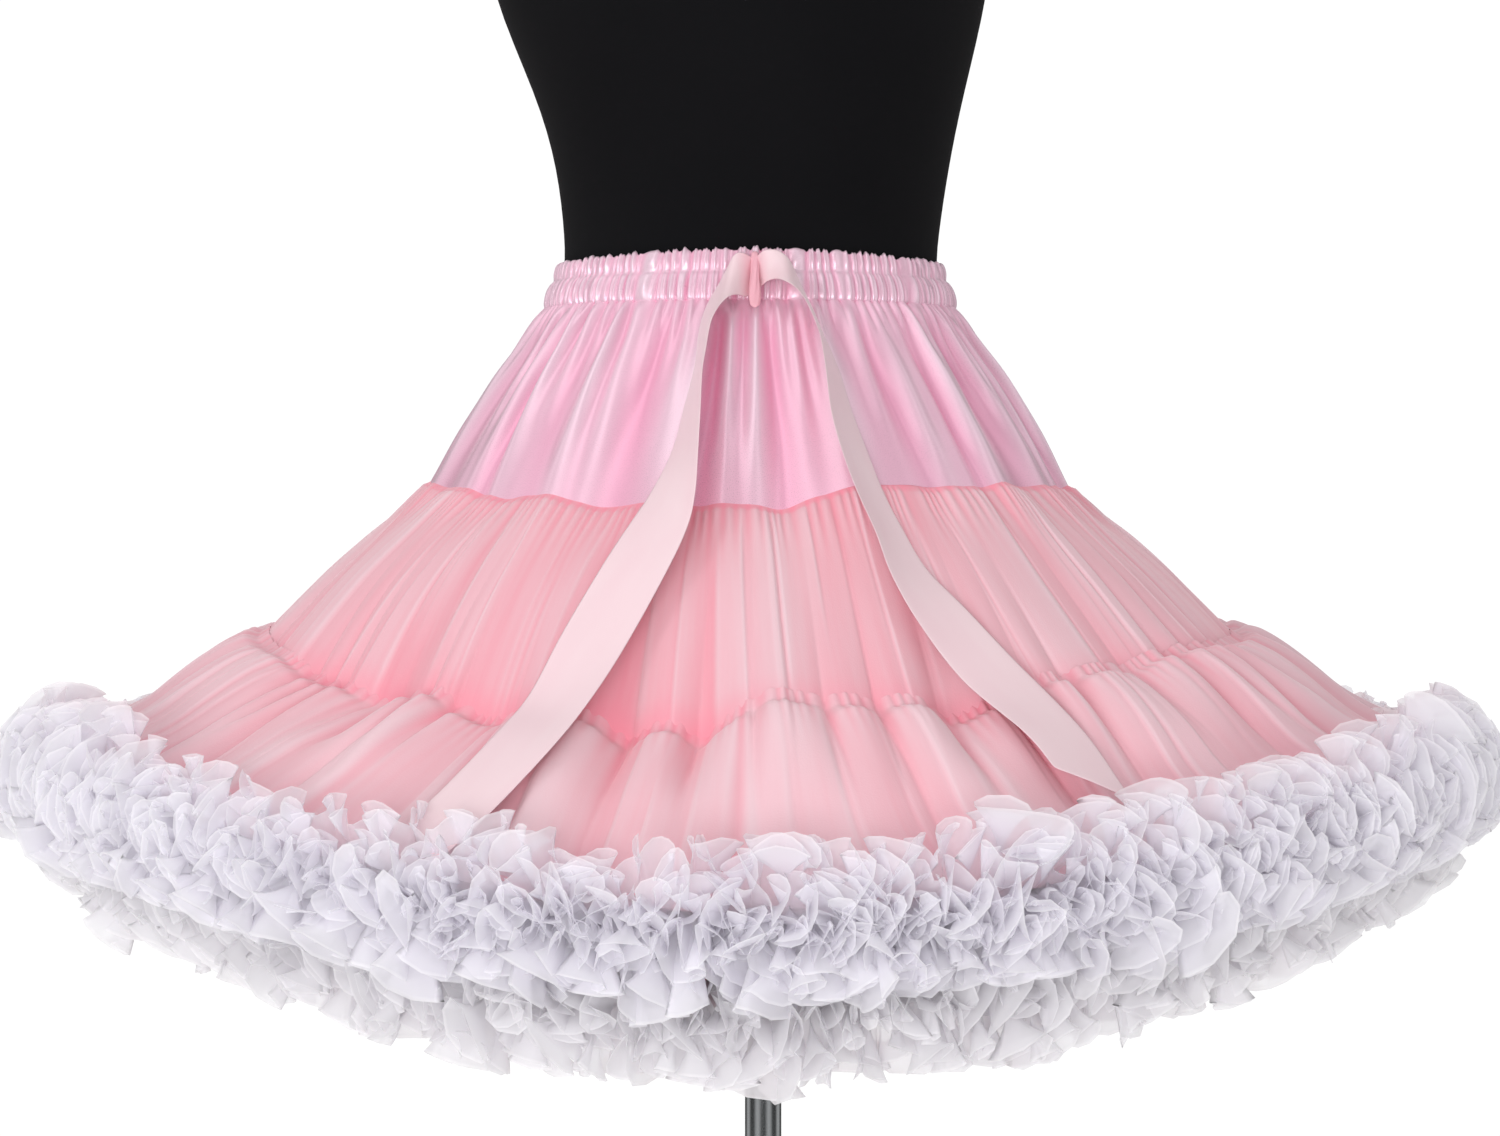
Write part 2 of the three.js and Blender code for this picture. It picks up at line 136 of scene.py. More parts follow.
SOFT_BOXES = [
    # name, place, size across and up, power
    ("soft_box_front", (-0.35, -2.3, 0.82), 1.3, 0.9, 21),
    ("soft_box_left", (-1.9, -1.9, 1.6), 0.5, 1.6, 9),
    ("soft_box_right", (2.0, -1.7, 1.6), 0.4, 1.6, 1.5),
    ("soft_box_top", (-0.7, -0.7, 2.9), 1.8, 1.8, 8),
    ("soft_box_back", (0.3, 2.3, 2.1), 1.6, 1.2, 10),
]
for name, place, across, up, power in SOFT_BOXES:
    light = bpy.data.lights.new(name, "AREA")
    light.shape = "RECTANGLE"
    light.size = across
    light.size_y = up
    light.energy = power
    lamp = bpy.data.objects.new(name, light)
    lamp.location = place
    aim = -(lamp.location - type(lamp.location)((FORM_X, 0, 0.85)))
    lamp.rotation_euler = aim.to_track_quat("-Z", "Y").to_euler()
    scene.collection.objects.link(lamp)

# Stand base: a chromed steel disc with a short hub, turned in one piece.
# The pole drops into the hub's socket. Both are polished.
chrome, chrome_tree, chrome_shader = new_material(
    "polished_chrome", Base_Color=(0.36, 0.37, 0.38, 1), Metallic=1.0, Roughness=0.12)
chrome_place = add_node(chrome_tree, "ShaderNodeTexCoord").outputs["Object"]
chrome_drawn = add_node(chrome_tree, "ShaderNodeMapping", {"Vector": chrome_place, "Scale": (300, 300, 4)})
chrome_lines = add_node(
    chrome_tree, "ShaderNodeTexNoise",
    {"Vector": chrome_drawn.outputs["Vector"], "Scale": 1.0, "Detail": 3.0})
chrome_wear = add_node(
    chrome_tree, "ShaderNodeMapRange", {"Value": chrome_lines.outputs["Fac"], "To Min": 0.08, "To Max": 0.22})
chrome_tree.links.new(chrome_wear.outputs["Result"], chrome_shader.inputs["Roughness"])


def edit(piece):
    """Edit mode on this piece alone, with nothing of it selected."""
    if bpy.context.object:
        bpy.ops.object.mode_set(mode="OBJECT")
    bpy.ops.object.select_all(action="DESELECT")
    bpy.context.view_layer.objects.active = piece
    piece.select_set(True)
    bpy.ops.object.mode_set(mode="EDIT")
    bpy.ops.mesh.select_all(action="DESELECT")


def select_where(piece, kind, test):
    """Selects the verts, edges or faces whose middle passes a test, in edit mode."""
    bpy.ops.mesh.select_mode(type={"verts": "VERT", "edges": "EDGE", "faces": "FACE"}[kind])
    shape = bmesh.from_edit_mesh(piece.data)
    bpy.ops.mesh.select_all(action="DESELECT")
    for part in getattr(shape, kind):
        points = [part.co] if kind == "verts" else [vert.co for vert in part.verts]
        middle = sum(points, points[0] * 0) / len(points)
        if test(middle, part):
            part.select_set(True)
    shape.select_flush_mode()
    bmesh.update_edit_mesh(piece.data)


def leave_edit(piece, name, material, node, smooth_under=40):
    """Ends the modelling of a hard piece: its place in its mesh, its finish, and the node it replaces."""
    bpy.ops.object.mode_set(mode="OBJECT")
    bpy.ops.object.transform_apply(location=True, rotation=True, scale=True)
    bpy.ops.object.shade_smooth_by_angle(angle=math.radians(smooth_under))
    piece.name = name
    piece.data.name = name
    piece.data.materials.clear()
    piece.data.materials.append(material)
    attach(piece, "root")
    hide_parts(node)


base_low, base_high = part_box("stand_base")
base_radius = (base_high[0] - base_low[0]) / 2
PLATE_TOP = 0.008
HUB_RADIUS = 0.024
SOCKET_RADIUS = 0.01285
bpy.ops.mesh.primitive_cylinder_add(
    vertices=128, radius=base_radius, depth=PLATE_TOP, location=(0, 0, PLATE_TOP / 2))
base = bpy.context.active_object
edit(base)
bpy.ops.mesh.select_mode(type="FACE")
select_where(base, "faces", lambda middle, face: face.normal.z > 0.9)
bpy.ops.mesh.inset(thickness=base_radius - HUB_RADIUS - 0.010, depth=0)
bpy.ops.mesh.inset(thickness=0.006, depth=0.004)
bpy.ops.mesh.inset(thickness=0.004, depth=0.008)
bpy.ops.mesh.extrude_region_move(TRANSFORM_OT_translate={"value": (0, 0, base_high[2] - 0.020)})
bpy.ops.mesh.inset(thickness=HUB_RADIUS - SOCKET_RADIUS, depth=0)
bpy.ops.mesh.extrude_region_move(TRANSFORM_OT_translate={"value": (0, 0, -(base_high[2] - 0.006))})
select_where(base, "edges", lambda middle, part: (
    all(abs(vert.co.xy.length - base_radius) < 1e-4 for vert in part.verts)
    and abs(part.verts[0].co.z - part.verts[1].co.z) < 1e-6))
bpy.ops.mesh.bevel(offset=0.0028, segments=4, affect="EDGES")
select_where(base, "edges", lambda middle, part: (
    abs(part.verts[0].co.z - part.verts[1].co.z) < 1e-6
    and middle.z + PLATE_TOP / 2 > base_high[2] - 0.001))
bpy.ops.mesh.bevel(offset=0.0015, segments=3, affect="EDGES")
leave_edit(base, "stand_base_disc", chrome, "stand_base")

# Stand pole: a 25 mm chromed tube from the base's socket up into the form's foot.
# Its wall shows nowhere, so it is closed at both ends.
pole_low, pole_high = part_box("stand_pole")
pole_radius = (pole_high[0] - pole_low[0]) / 2
bpy.ops.object.select_all(action="DESELECT")
bpy.ops.mesh.primitive_cylinder_add(
    vertices=96, radius=pole_radius, depth=pole_high[2] - pole_low[2],
    location=(0, 0, (pole_high[2] + pole_low[2]) / 2))
pole = bpy.context.active_object
edit(pole)
select_where(pole, "edges", lambda middle, part: abs(part.verts[0].co.z - part.verts[1].co.z) < 1e-6)
bpy.ops.mesh.bevel(offset=0.0012, segments=3, affect="EDGES")
leave_edit(pole, "stand_pole_tube", chrome, "stand_pole")

# Dress form: a smooth limbless torso, padded and covered in close black jersey, cut flat at hip and neck.
# It is raised level by level from an oval at the hips, then smoothed.
WAIST_TOP = 1.060
TORSO_LEVELS = [
    # above the skirt's top edge, half width, half depth, sideways, forward
    (-0.310, 0.146, 0.103, 0, 0),
    (-0.304, 0.153, 0.109, 0, 0),
    (-0.250, 0.168, 0.119, 0, 0),
    (-0.190, 0.172, 0.122, 0, 0),
    (-0.120, 0.160, 0.115, 0, 0),
    (-0.060, 0.139, 0.104, 0, 0),
    (-0.012, 0.1245, 0.0955, 0, 0),
    (0.015, 0.1254, 0.0964, 0.001, 0),
    (0.062, 0.131, 0.101, 0.002, 0.003),
    (0.109, 0.142, 0.109, 0, 0.008),
    (0.177, 0.166, 0.123, -0.007, 0.014),
    (0.235, 0.171, 0.116, -0.008, 0.008),
    (0.295, 0.178, 0.096, -0.008, 0),
    (0.340, 0.174, 0.078, -0.008, -0.004),
    (0.368, 0.148, 0.068, -0.008, -0.005),
    (0.388, 0.098, 0.060, -0.008, -0.004),
    (0.408, 0.064, 0.054, -0.008, -0.002),
    (0.462, 0.055, 0.052, -0.008, 0),
]
bpy.ops.object.select_all(action="DESELECT")
bpy.ops.mesh.primitive_circle_add(vertices=48, radius=1.0, fill_type="NGON", location=(0, 0, 0))
torso = bpy.context.active_object
edit(torso)
bpy.ops.mesh.select_all(action="SELECT")
above, half_width, half_depth, sideways, forward = TORSO_LEVELS[0]
middle_now = np.array([FORM_X + sideways, -forward, WAIST_TOP + above])
bpy.ops.transform.resize(value=(half_width, half_depth, 1))
bpy.ops.transform.translate(value=tuple(middle_now))
for (above, half_width, half_depth, sideways, forward), below in zip(TORSO_LEVELS[1:], TORSO_LEVELS):
    middle_next = np.array([FORM_X + sideways, -forward, WAIST_TOP + above])
    bpy.ops.mesh.extrude_region_move(TRANSFORM_OT_translate={"value": tuple(middle_next - middle_now)})
    bpy.ops.transform.resize(
        value=(half_width / below[1], half_depth / below[2], 1), center_override=tuple(middle_next))
    middle_now = middle_next
bpy.ops.mesh.select_all(action="SELECT")
bpy.ops.mesh.normals_make_consistent(inside=False)
select_where(torso, "faces", lambda middle, face: len(face.verts) > 4)
bpy.ops.mesh.inset(thickness=0.002, depth=0)
bpy.ops.mesh.inset(thickness=0.03, depth=0)
bpy.ops.object.mode_set(mode="OBJECT")
smoothing = torso.modifiers.new("smoothing", "SUBSURF")
smoothing.levels = 2
smoothing.render_levels = 2
bpy.ops.object.modifier_apply(modifier=smoothing.name)

jersey, jersey_tree, jersey_shader = new_material(
    "black_jersey", Roughness=0.9, Specular_IOR_Level=0.06, Sheen_Weight=0.02, Sheen_Roughness=0.5)
jersey_place = add_node(jersey_tree, "ShaderNodeTexCoord").outputs["Object"]
jersey_wales = add_node(
    jersey_tree, "ShaderNodeTexWave", {"Vector": jersey_place, "Scale": 900.0, "Distortion": 1.5},
    bands_direction="X")
jersey_mottle = add_node(
    jersey_tree, "ShaderNodeTexNoise", {"Vector": jersey_place, "Scale": 9.0, "Detail": 4.0})
jersey_tone = add_node(
    jersey_tree, "ShaderNodeMix", {"Factor": jersey_mottle.outputs["Fac"]}, data_type="RGBA")
jersey_tone.inputs[6].default_value = (0.004, 0.004, 0.0048, 1)
jersey_tone.inputs[7].default_value = (0.0065, 0.0065, 0.0075, 1)
jersey_bump = add_node(
    jersey_tree, "ShaderNodeBump",
    {"Height": jersey_wales.outputs["Fac"], "Strength": 0.25, "Distance": 0.0003})
jersey_tree.links.new(jersey_tone.outputs[2], jersey_shader.inputs["Base Color"])
jersey_tree.links.new(jersey_bump.outputs["Normal"], jersey_shader.inputs["Normal"])
bpy.context.view_layer.objects.active = torso
leave_edit(torso, "form_torso_jersey", jersey, "form_torso", 60)

# Neck cap: a round plug covered in the same jersey.
# It closes the form's neck, and its top edge is softened.
cap_low, cap_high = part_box("form_neck_cap")
bpy.ops.object.select_all(action="DESELECT")
bpy.ops.mesh.primitive_cylinder_add(
    vertices=96, radius=(cap_high[0] - cap_low[0]) / 2, depth=cap_high[2] - cap_low[2],
    location=tuple((np.array(cap_low) + np.array(cap_high)) / 2))
cap = bpy.context.active_object
edit(cap)
select_where(cap, "edges", lambda middle, part: (
    abs(part.verts[0].co.z - part.verts[1].co.z) < 1e-6 and middle.z > 0))
bpy.ops.mesh.bevel(offset=0.003, segments=5, affect="EDGES")
leave_edit(cap, "form_neck_plug", jersey, "form_neck_cap")

# Waist casing: a band of lilac-pink satin folded over flat elastic, with a small frill left above it.
# Two lines of stitching make the elastic's channel, and the elastic draws the satin up into fine gathers.
SAG_POWER = 3.5  # the hem dips at the front and back, and a higher power narrows the dip
MM = 0.001


def wander(turns, seed, lowest, highest):
    """A smooth uneven wave round the skirt, from about -1 to 1, with lobes between these counts."""
    rng = np.random.default_rng(seed)
    counts = np.arange(lowest, highest + 1)
    phases = rng.uniform(0, 2 * math.pi, len(counts))
    sizes = rng.uniform(0.5, 1.0, len(counts))
    waves = sizes[:, None] * np.cos(counts[:, None] * turns.ravel() + phases[:, None])
    return (waves.sum(0) / math.sqrt((sizes ** 2).sum() * 1.3)).reshape(turns.shape)


def along(table, steps):
    """Rows of a table joined by a smooth curve, at this many even steps between each two rows."""
    rows = np.array(table, float)
    padded = np.vstack([2 * rows[0] - rows[1], rows, 2 * rows[-1] - rows[-2]])
    pieces = []
    for place in range(1, len(rows)):
        before, here, there, after = padded[place - 1:place + 3]
        share = np.linspace(0, 1, steps, endpoint=False)[:, None]
        pieces.append(0.5 * (
            2 * here + (there - before) * share
            + (2 * before - 5 * here + 4 * there - after) * share ** 2
            + (3 * here - before - 3 * there + after) * share ** 3))
    return np.vstack(pieces + [rows[-1:]])


def round_skirt(rows, turns):
    """Points round the form for rows of side drop, front drop, half width and half depth, in millimetres."""
    side, front, wide, deep = (column[:, None] for column in np.asarray(rows).T[:4])
    dip = np.abs(np.cos(turns)) ** SAG_POWER
    return np.stack([
        FORM_X + MM * wide * np.sin(turns),
        -MM * deep * np.cos(turns),
        WAIST_TOP - MM * (side + (front - side) * dip)], -1)


def unit(ways):
    """The same ways, each of length 1."""
    return ways / np.linalg.norm(ways, axis=-1, keepdims=True)


def outward(points):
    """The way out of a closed ring of rows of points, square to them."""
    down = np.gradient(points, axis=0)
    round_way = np.roll(points, -1, 1) - np.roll(points, 1, 1)
    return unit(np.cross(down, round_way))


def cloth(name, points, closed=True, **shades):
    """A smooth cloth mesh through rows of points, with its UV map and shades at the points."""
    rows, across = points.shape[:2]
    index = np.arange(rows * across).reshape(rows, across)
    left = index if closed else index[:, :-1]
    right = np.roll(index, -1, 1) if closed else index[:, 1:]
    quads = np.stack([left[:-1], left[1:], right[1:], right[:-1]], -1).reshape(-1, 4)
    mesh = bpy.data.meshes.new(name)
    mesh.from_pydata(points.reshape(-1, 3).tolist(), [], quads.tolist())
    columns = left.shape[1]
    u = np.arange(columns) / columns
    v = np.arange(rows) / (rows - 1)
    u_here, v_here = np.meshgrid(u, v[:-1])
    step, fall = 1 / columns, 1 / (rows - 1)
    corners = np.stack([
        np.stack([u_here, v_here], -1), np.stack([u_here, v_here + fall], -1),
        np.stack([u_here + step, v_here + fall], -1), np.stack([u_here + step, v_here], -1)], 2)
    mesh.uv_layers.new(name="cloth").data.foreach_set("uv", corners.ravel())
    for shade, values in shades.items():
        layer = mesh.attributes.new(shade, "FLOAT", "POINT")
        layer.data.foreach_set("value", np.broadcast_to(values, (rows, across)).astype(float).ravel())
    mesh.polygons.foreach_set("use_smooth", np.ones(len(quads), bool))
    piece = bpy.data.objects.new(name, mesh)
    scene.collection.objects.link(piece)
    return piece


def finish_cloth(piece, material, node):
    """A cloth piece's finish, its body, and the node that it stands for."""
    piece.data.materials.append(material)
    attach(piece, "root")
    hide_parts(node)


def mix_colours(tree, factor, first, second):
    """The colour between two, by a factor's socket. Each colour is a value or a socket."""
    node = add_node(tree, "ShaderNodeMix", {"Factor": factor}, data_type="RGBA")
    for place, colour in ((6, first), (7, second)):
        if isinstance(colour, bpy.types.NodeSocket):
            tree.links.new(colour, node.inputs[place])
        else:
            node.inputs[place].default_value = (*colour, 1)
    return node.outputs[2]


def from_shade(tree, name):
    """A shade that the mesh holds at its points."""
    return add_node(tree, "ShaderNodeAttribute", attribute_name=name).outputs["Fac"]


def cloth_place(tree, across, along_slope):
    """The UV map, stretched to this many repeats round the skirt and down it."""
    place = add_node(tree, "ShaderNodeUVMap", uv_map="cloth").outputs["UV"]
    return add_node(
        tree, "ShaderNodeMapping", {"Vector": place, "Scale": (across, along_slope, 1)}).outputs["Vector"]


# Satin colours for painted shading: the deep pink is painted shade in fold troughs, the pale is painted
# highlight on crests.
SATIN_PAINTED_SHADE = (0.86, 0.37, 0.54)
SATIN_PAINTED_HIGHLIGHT = (0.83, 0.61, 0.71)


def satin_finish(name, threads_round, threads_down):
    """Lilac-pink satin: smooth and glossy over a fine weave, painted deeper pink in its fold troughs as
    painted shade and paler on the crests as painted highlight.
    """
    material, tree, shader = new_material(
        name, Metallic=0.22, Roughness=0.3, IOR=1.5, Sheen_Weight=0.25, Sheen_Roughness=0.35,
        Coat_Weight=0.3, Coat_Roughness=0.2)
    weave = add_node(
        tree, "ShaderNodeTexNoise",
        {"Vector": cloth_place(tree, threads_round, threads_down), "Scale": 1.0, "Detail": 2.0})
    # The mesh's shading value blends from painted shade in the troughs to painted highlight on the crests.
    tone = mix_colours(tree, from_shade(tree, "fold"), SATIN_PAINTED_SHADE, SATIN_PAINTED_HIGHLIGHT)
    gloss = add_node(
        tree, "ShaderNodeMapRange", {"Value": weave.outputs["Fac"], "To Min": 0.22, "To Max": 0.36})
    bump = add_node(
        tree, "ShaderNodeBump", {"Height": weave.outputs["Fac"], "Strength": 0.1, "Distance": 0.0004})
    tree.links.new(tone, shader.inputs["Base Color"])
    tree.links.new(gloss.outputs["Result"], shader.inputs["Roughness"])
    tree.links.new(bump.outputs["Normal"], shader.inputs["Normal"])
    return material


def puffs(line):
    """Rounded swells with sharp pinches between them, from -1 to 1."""
    return 2 * np.abs(np.sin(line / 2)) ** 0.75 - 1


def gather_line(turns):
    """Where the satin's gathers lie round the waist: the same in the casing and at the yoke's top."""
    return GATHERS * turns + 3.0 * wander(turns, 11, 3, 30)


CASING_TURNS = np.linspace(-math.pi, math.pi, 1180, endpoint=False)
CASING_ROWS = [
    # side drop, front drop, half width, half depth, gather depth
    (13.0, 13.0, 126.6, 97.6, 0.3),
    (8.0, 7.0, 126.3, 97.3, 0.5),
    (4.6, 1.2, 126.6, 97.8, 0.8),
    (3.2, -0.6, 127.6, 99.4, 1.4),
    (5.0, 2.5, 128.8, 100.8, 1.7),
    (8.6, 7.0, 130.2, 101.8, 1.4),
    (12.6, 11.6, 131.0, 102.0, 0.7),
    (14.0, 13.2, 131.6, 102.6, 0.6),
    (16.0, 15.4, 133.2, 104.4, 1.1),
    (20.5, 20.0, 135.2, 106.4, 1.6),
    (26.0, 26.0, 136.8, 107.8, 1.5),
    (30.6, 30.6, 137.0, 108.0, 1.2),
    (32.4, 32.4, 135.4, 106.4, 0.8),
    (31.0, 31.0, 133.4, 104.4, 0.5),
]
GATHERS = 104
casing_rows = along(CASING_ROWS, 3)
casing_flat = round_skirt(casing_rows, CASING_TURNS)
casing_share = np.linspace(0, 1, len(casing_rows))[:, None]
casing_line = gather_line(CASING_TURNS) + 1.5 * wander(CASING_TURNS, 12, 9, 40) * (1 - casing_share)
casing_wave = puffs(casing_line) * (0.75 + 0.5 * wander(CASING_TURNS, 13, 12, 70))
casing_fine = 0.4 * np.cos(2.6 * casing_line + 2.5 * wander(CASING_TURNS, 14, 5, 40) + 5 * casing_share)
casing_lift = casing_rows[:, 4:5] * (casing_wave + casing_fine)
casing_points = casing_flat + MM * casing_lift[..., None] * outward(casing_flat)
casing_rim = np.exp(-(casing_rows[:, :1] / 5.0) ** 2)
casing_points[..., 2] += MM * casing_rim * (0.8 * casing_wave + 0.6 * wander(CASING_TURNS, 15, 20, 110))
# Painted shading: the puckers' crests are painted paler as painted highlight, their troughs deeper pink as
# painted shade.
casing_painted_shading = np.clip(0.55 + 0.4 * (casing_wave + casing_fine), 0, 1)
casing = cloth("waist_casing_satin", casing_points, fold=casing_painted_shading)
finish_cloth(casing, satin_finish("lilac_satin_band", 2600, 90), "waist_casing")

# Yoke: a wide band of the same satin, gathered into the casing and hanging in soft folds.
# Its gathers run out of the casing's, join into broad folds, and flatten towards the lower seam.
SEAM_ONE_DIP = [
    # turn from the front in degrees, how far the seam dips there in millimetres
    (-77, -2), (-55, 0), (-46, 7), (-41, 1), (-33, 2), (-27, 8), (-21, 5), (-14, 4), (-2, 4), (5, 8),
    (10, 0), (16, -6), (25, -7), (36, -4), (49, -5), (62, -1), (83, 2),
]


def all_round(table, turns, soften):
    """A table of turns over the front, with its mirror over the back, as one smooth line round the skirt."""
    front = np.array(table, float)
    back = np.column_stack([180 - 0.97 * front[:, 0], front[:, 1]])
    places = np.vstack([front, back])
    order = np.argsort(places[:, 0] % 360)
    fine = np.linspace(0, 360, 3600, endpoint=False)
    line = np.interp(fine, places[order, 0] % 360, places[order, 1], period=360)
    reach = np.minimum(fine, 360 - fine)
    blur = np.exp(-0.5 * (reach / soften) ** 2)
    line = np.fft.irfft(np.fft.rfft(line) * np.fft.rfft(blur / blur.sum()), 3600)
    return np.interp(np.degrees(turns) % 360, fine, line, period=360)


def folds(turns, count, seed, uneven=1.6):
    """Uneven folds round the skirt, from -1 in a trough to 1 on a crest."""
    line = count * turns + uneven * wander(turns, seed, 2, max(3, count // 3))
    return np.cos(line) * (0.78 + 0.3 * wander(turns, seed + 1, 2, count // 2))


def step_up(share, start, end):
    """0 before start and 1 after end, with a smooth rise between them."""
    place = np.clip((share - start) / (end - start), 0, 1)
    return place * place * (3 - 2 * place)


def slope_share(rows):
    """How far down the slope each row lies, from 0 at the first to 1 at the last."""
    steps = np.linalg.norm(np.diff(rows[:, [1, 3]], axis=0), axis=1)
    reach = np.concatenate([[0], np.cumsum(steps)])
    return (reach / reach[-1])[:, None]


SINK_IN = 0.4
SINK_DOWN = 1.05


def sink(points, turns, dip):
    """Lets cloth sink at a seam: down, and in towards the form."""
    points[..., 0] -= MM * SINK_IN * dip * np.sin(turns)
    points[..., 1] += MM * SINK_IN * dip * np.cos(turns)
    points[..., 2] -= MM * SINK_DOWN * dip


def rim_of(upper_turns, upper_lift, turns):
    """How far the lowest row of the cloth above stands out, at the turns of the cloth sewn to it."""
    return np.interp(turns, upper_turns[-1], upper_lift[-1], period=2 * math.pi)


YOKE_TURNS = np.linspace(-math.pi, math.pi, 1100, endpoint=False)
YOKE_ROWS = [
    # side drop, front drop, half width, half depth
    (29.5, 29.5, 134.2, 105.2),
    (33, 33, 138.0, 109.0),
    (42, 42, 145.0, 116.0),
    (62, 62, 158, 129),
    (85, 86, 174, 145),
    (105, 107, 187, 157.5),
    (128, 131, 201, 172),
    (151, 155, 214, 185),
]
yoke_rows = along(YOKE_ROWS, 6)
yoke_share = slope_share(yoke_rows)
yoke_drift = 0.03 * wander(YOKE_TURNS, 21, 3, 12) * yoke_share
yoke_turns = YOKE_TURNS + yoke_drift
yoke_flat = round_skirt(yoke_rows, yoke_turns)
YOKE_BROAD_FOLDS = 24
YOKE_SOFT_FOLDS = 45
YOKE_NARROW_FOLDS = 74
yoke_broad = folds(YOKE_TURNS, YOKE_BROAD_FOLDS, 22, 2.2)
yoke_soft = folds(YOKE_TURNS, YOKE_SOFT_FOLDS, 24, 2.6)
yoke_narrow = folds(YOKE_TURNS, YOKE_NARROW_FOLDS, 26, 3.0)
yoke_pinches = puffs(gather_line(YOKE_TURNS))
yoke_lift = (
    3.4 * yoke_broad * step_up(yoke_share, 0.04, 0.45) * (1 - 0.35 * step_up(yoke_share, 0.7, 1))
    + 2.5 * yoke_soft * step_up(yoke_share, 0.0, 0.2) * (1 - 0.6 * step_up(yoke_share, 0.45, 1))
    + 1.6 * yoke_narrow * step_up(yoke_share, 0.0, 0.1) * (1 - step_up(yoke_share, 0.2, 0.75))
    + 1.3 * yoke_pinches * (1 - step_up(yoke_share, 0.02, 0.25)))
yoke_points = yoke_flat + MM * yoke_lift[..., None] * outward(yoke_flat)
sink(yoke_points, yoke_turns, all_round(SEAM_ONE_DIP, yoke_turns, 1.6) * yoke_share ** 3)
# Painted shading: the folds' crests are painted paler as painted highlight, their troughs deeper pink as
# painted shade.
yoke = cloth("yoke_satin", yoke_points, fold=np.clip(0.5 + 0.11 * yoke_lift, 0, 1))
finish_cloth(yoke, satin_finish("lilac_satin", 2600, 330), "yoke")

# Upper tier: peach-pink tulle, gathered by a fine running stitch along the yoke's edge.
# Its close gathers open into sheer folds that lie over each other, deepest above the seam's dips, where the
# pink is painted deeper as painted shade.
SEAM_TWO_DIP = [
    # turn from the front in degrees, how far the seam dips there in millimetres
    (-80, -6), (-63, 2), (-54, 12), (-46, 11), (-41, 15), (-35, 2), (-29, 21), (-24, 4), (-19, 2),
    (-16, 8), (-13.6, 21), (-8.4, 9), (-4.8, 20), (-2, 10), (0.5, -9), (4.4, -4), (7.4, -7), (11, -2),
    (15, -2), (18.6, 2), (22, 16), (25, 9), (30, -4), (37, -6), (42, -9), (48, -8), (59, -9), (72, -6),
]
# Tulle colours: the deep pink is painted shade between folds, the mid is the net's own pink, and the pale is
# partly the doubled net and partly painted light on crests.
TULLE_PAINTED_SHADE = (0.76, 0.285, 0.35)
TULLE_MID = (0.75, 0.385, 0.445)
TULLE_DOUBLE_AND_PAINTED_LIGHT = (0.75, 0.525, 0.57)
# Deeper pink at the seams: partly the close-gathered net, partly painted shade in gather troughs, pinches and
# hollows.
SEAM_AND_PAINTED_SHADE_PINK = (0.82, 0.27, 0.35)


def tulle_finish(name, folds_round):
    """Peach-pink tulle: a fine dry net, paler where folds lie double and deeper between them. The paler
    crests are partly the doubled net and partly painted light, the deeper troughs are painted shade, and the
    seam pink is partly the close-gathered net and partly painted shade.
    """
    material, tree, shader = new_material(
        name, Roughness=0.85, Specular_IOR_Level=0.25, Sheen_Weight=0.45, Sheen_Roughness=0.45,
        Sheen_Tint=(1.0, 0.88, 0.89, 1))
    streaks = add_node(
        tree, "ShaderNodeTexNoise",
        {"Vector": cloth_place(tree, folds_round, 1.4), "Scale": 1.0, "Detail": 4.0, "Roughness": 0.6})
    net = add_node(
        tree, "ShaderNodeTexVoronoi", {"Vector": cloth_place(tree, 2400, 190), "Scale": 1.0})
    uneven = add_node(
        tree, "ShaderNodeMapRange",
        {"Value": streaks.outputs["Fac"], "From Min": 0.3, "From Max": 0.7, "To Min": -0.1, "To Max": 0.1})
    height = add_node(
        tree, "ShaderNodeMath", {0: from_shade(tree, "fold"), 1: uneven.outputs["Result"]},
        operation="ADD", use_clamp=True)
    low = mix_colours(tree, height.outputs[0], TULLE_PAINTED_SHADE, TULLE_MID)
    high = mix_colours(tree, height.outputs[0], low, TULLE_DOUBLE_AND_PAINTED_LIGHT)
    # The seam value adds deeper pink: partly the close-gathered net, partly painted shade.
    tone = mix_colours(tree, from_shade(tree, "seam"), high, SEAM_AND_PAINTED_SHADE_PINK)
    bump = add_node(
        tree, "ShaderNodeBump", {"Height": net.outputs["Distance"], "Strength": 0.15, "Distance": 0.0003})
    tree.links.new(tone, shader.inputs["Base Color"])
    tree.links.new(bump.outputs["Normal"], shader.inputs["Normal"])
    return material


def flaps(turns, share, count, seed):
    """Sheer folds laid over each other, each with a sharp edge, and a painted highlight line along each edge.
    """
    rng = np.random.default_rng(seed)
    line = count * (turns / (2 * math.pi) + 0.5) + 0.45 * wander(turns, seed, 3, count // 3)
    number = np.floor(line).astype(int) % count
    place = line - np.floor(line)
    place = np.where((rng.random(count) < 0.5)[number], place, 1 - place)
    size = rng.uniform(0.25, 1.0, count)[number]
    start = rng.uniform(-0.6, 0.25, count)[number]
    end = rng.uniform(0.7, 2.2, count)[number]
    size = size * step_up(share, start, start + 0.4) * (1 - step_up(share, end - 0.5, end))
    height = size * np.clip(place / 0.09, 0, 1) * (1 - place) ** 1.2
    # A painted highlight line just inside each fold's edge.
    edge = size * np.exp(-((place - 0.08) / 0.045) ** 2)
    return height, edge


def seam_two_dip(turns):
    """How far the seam between the tiers dips: its large folds, and small scallops between its puffs."""
    return all_round(SEAM_TWO_DIP, turns, 1.2) - 2.6 * puffs(puff_line(turns))


PUFFS = 58


def puff_line(turns):
    """Where the lower tier puffs up below the seam."""
    return PUFFS * turns + 2.6 * wander(turns, 39, 3, 24)


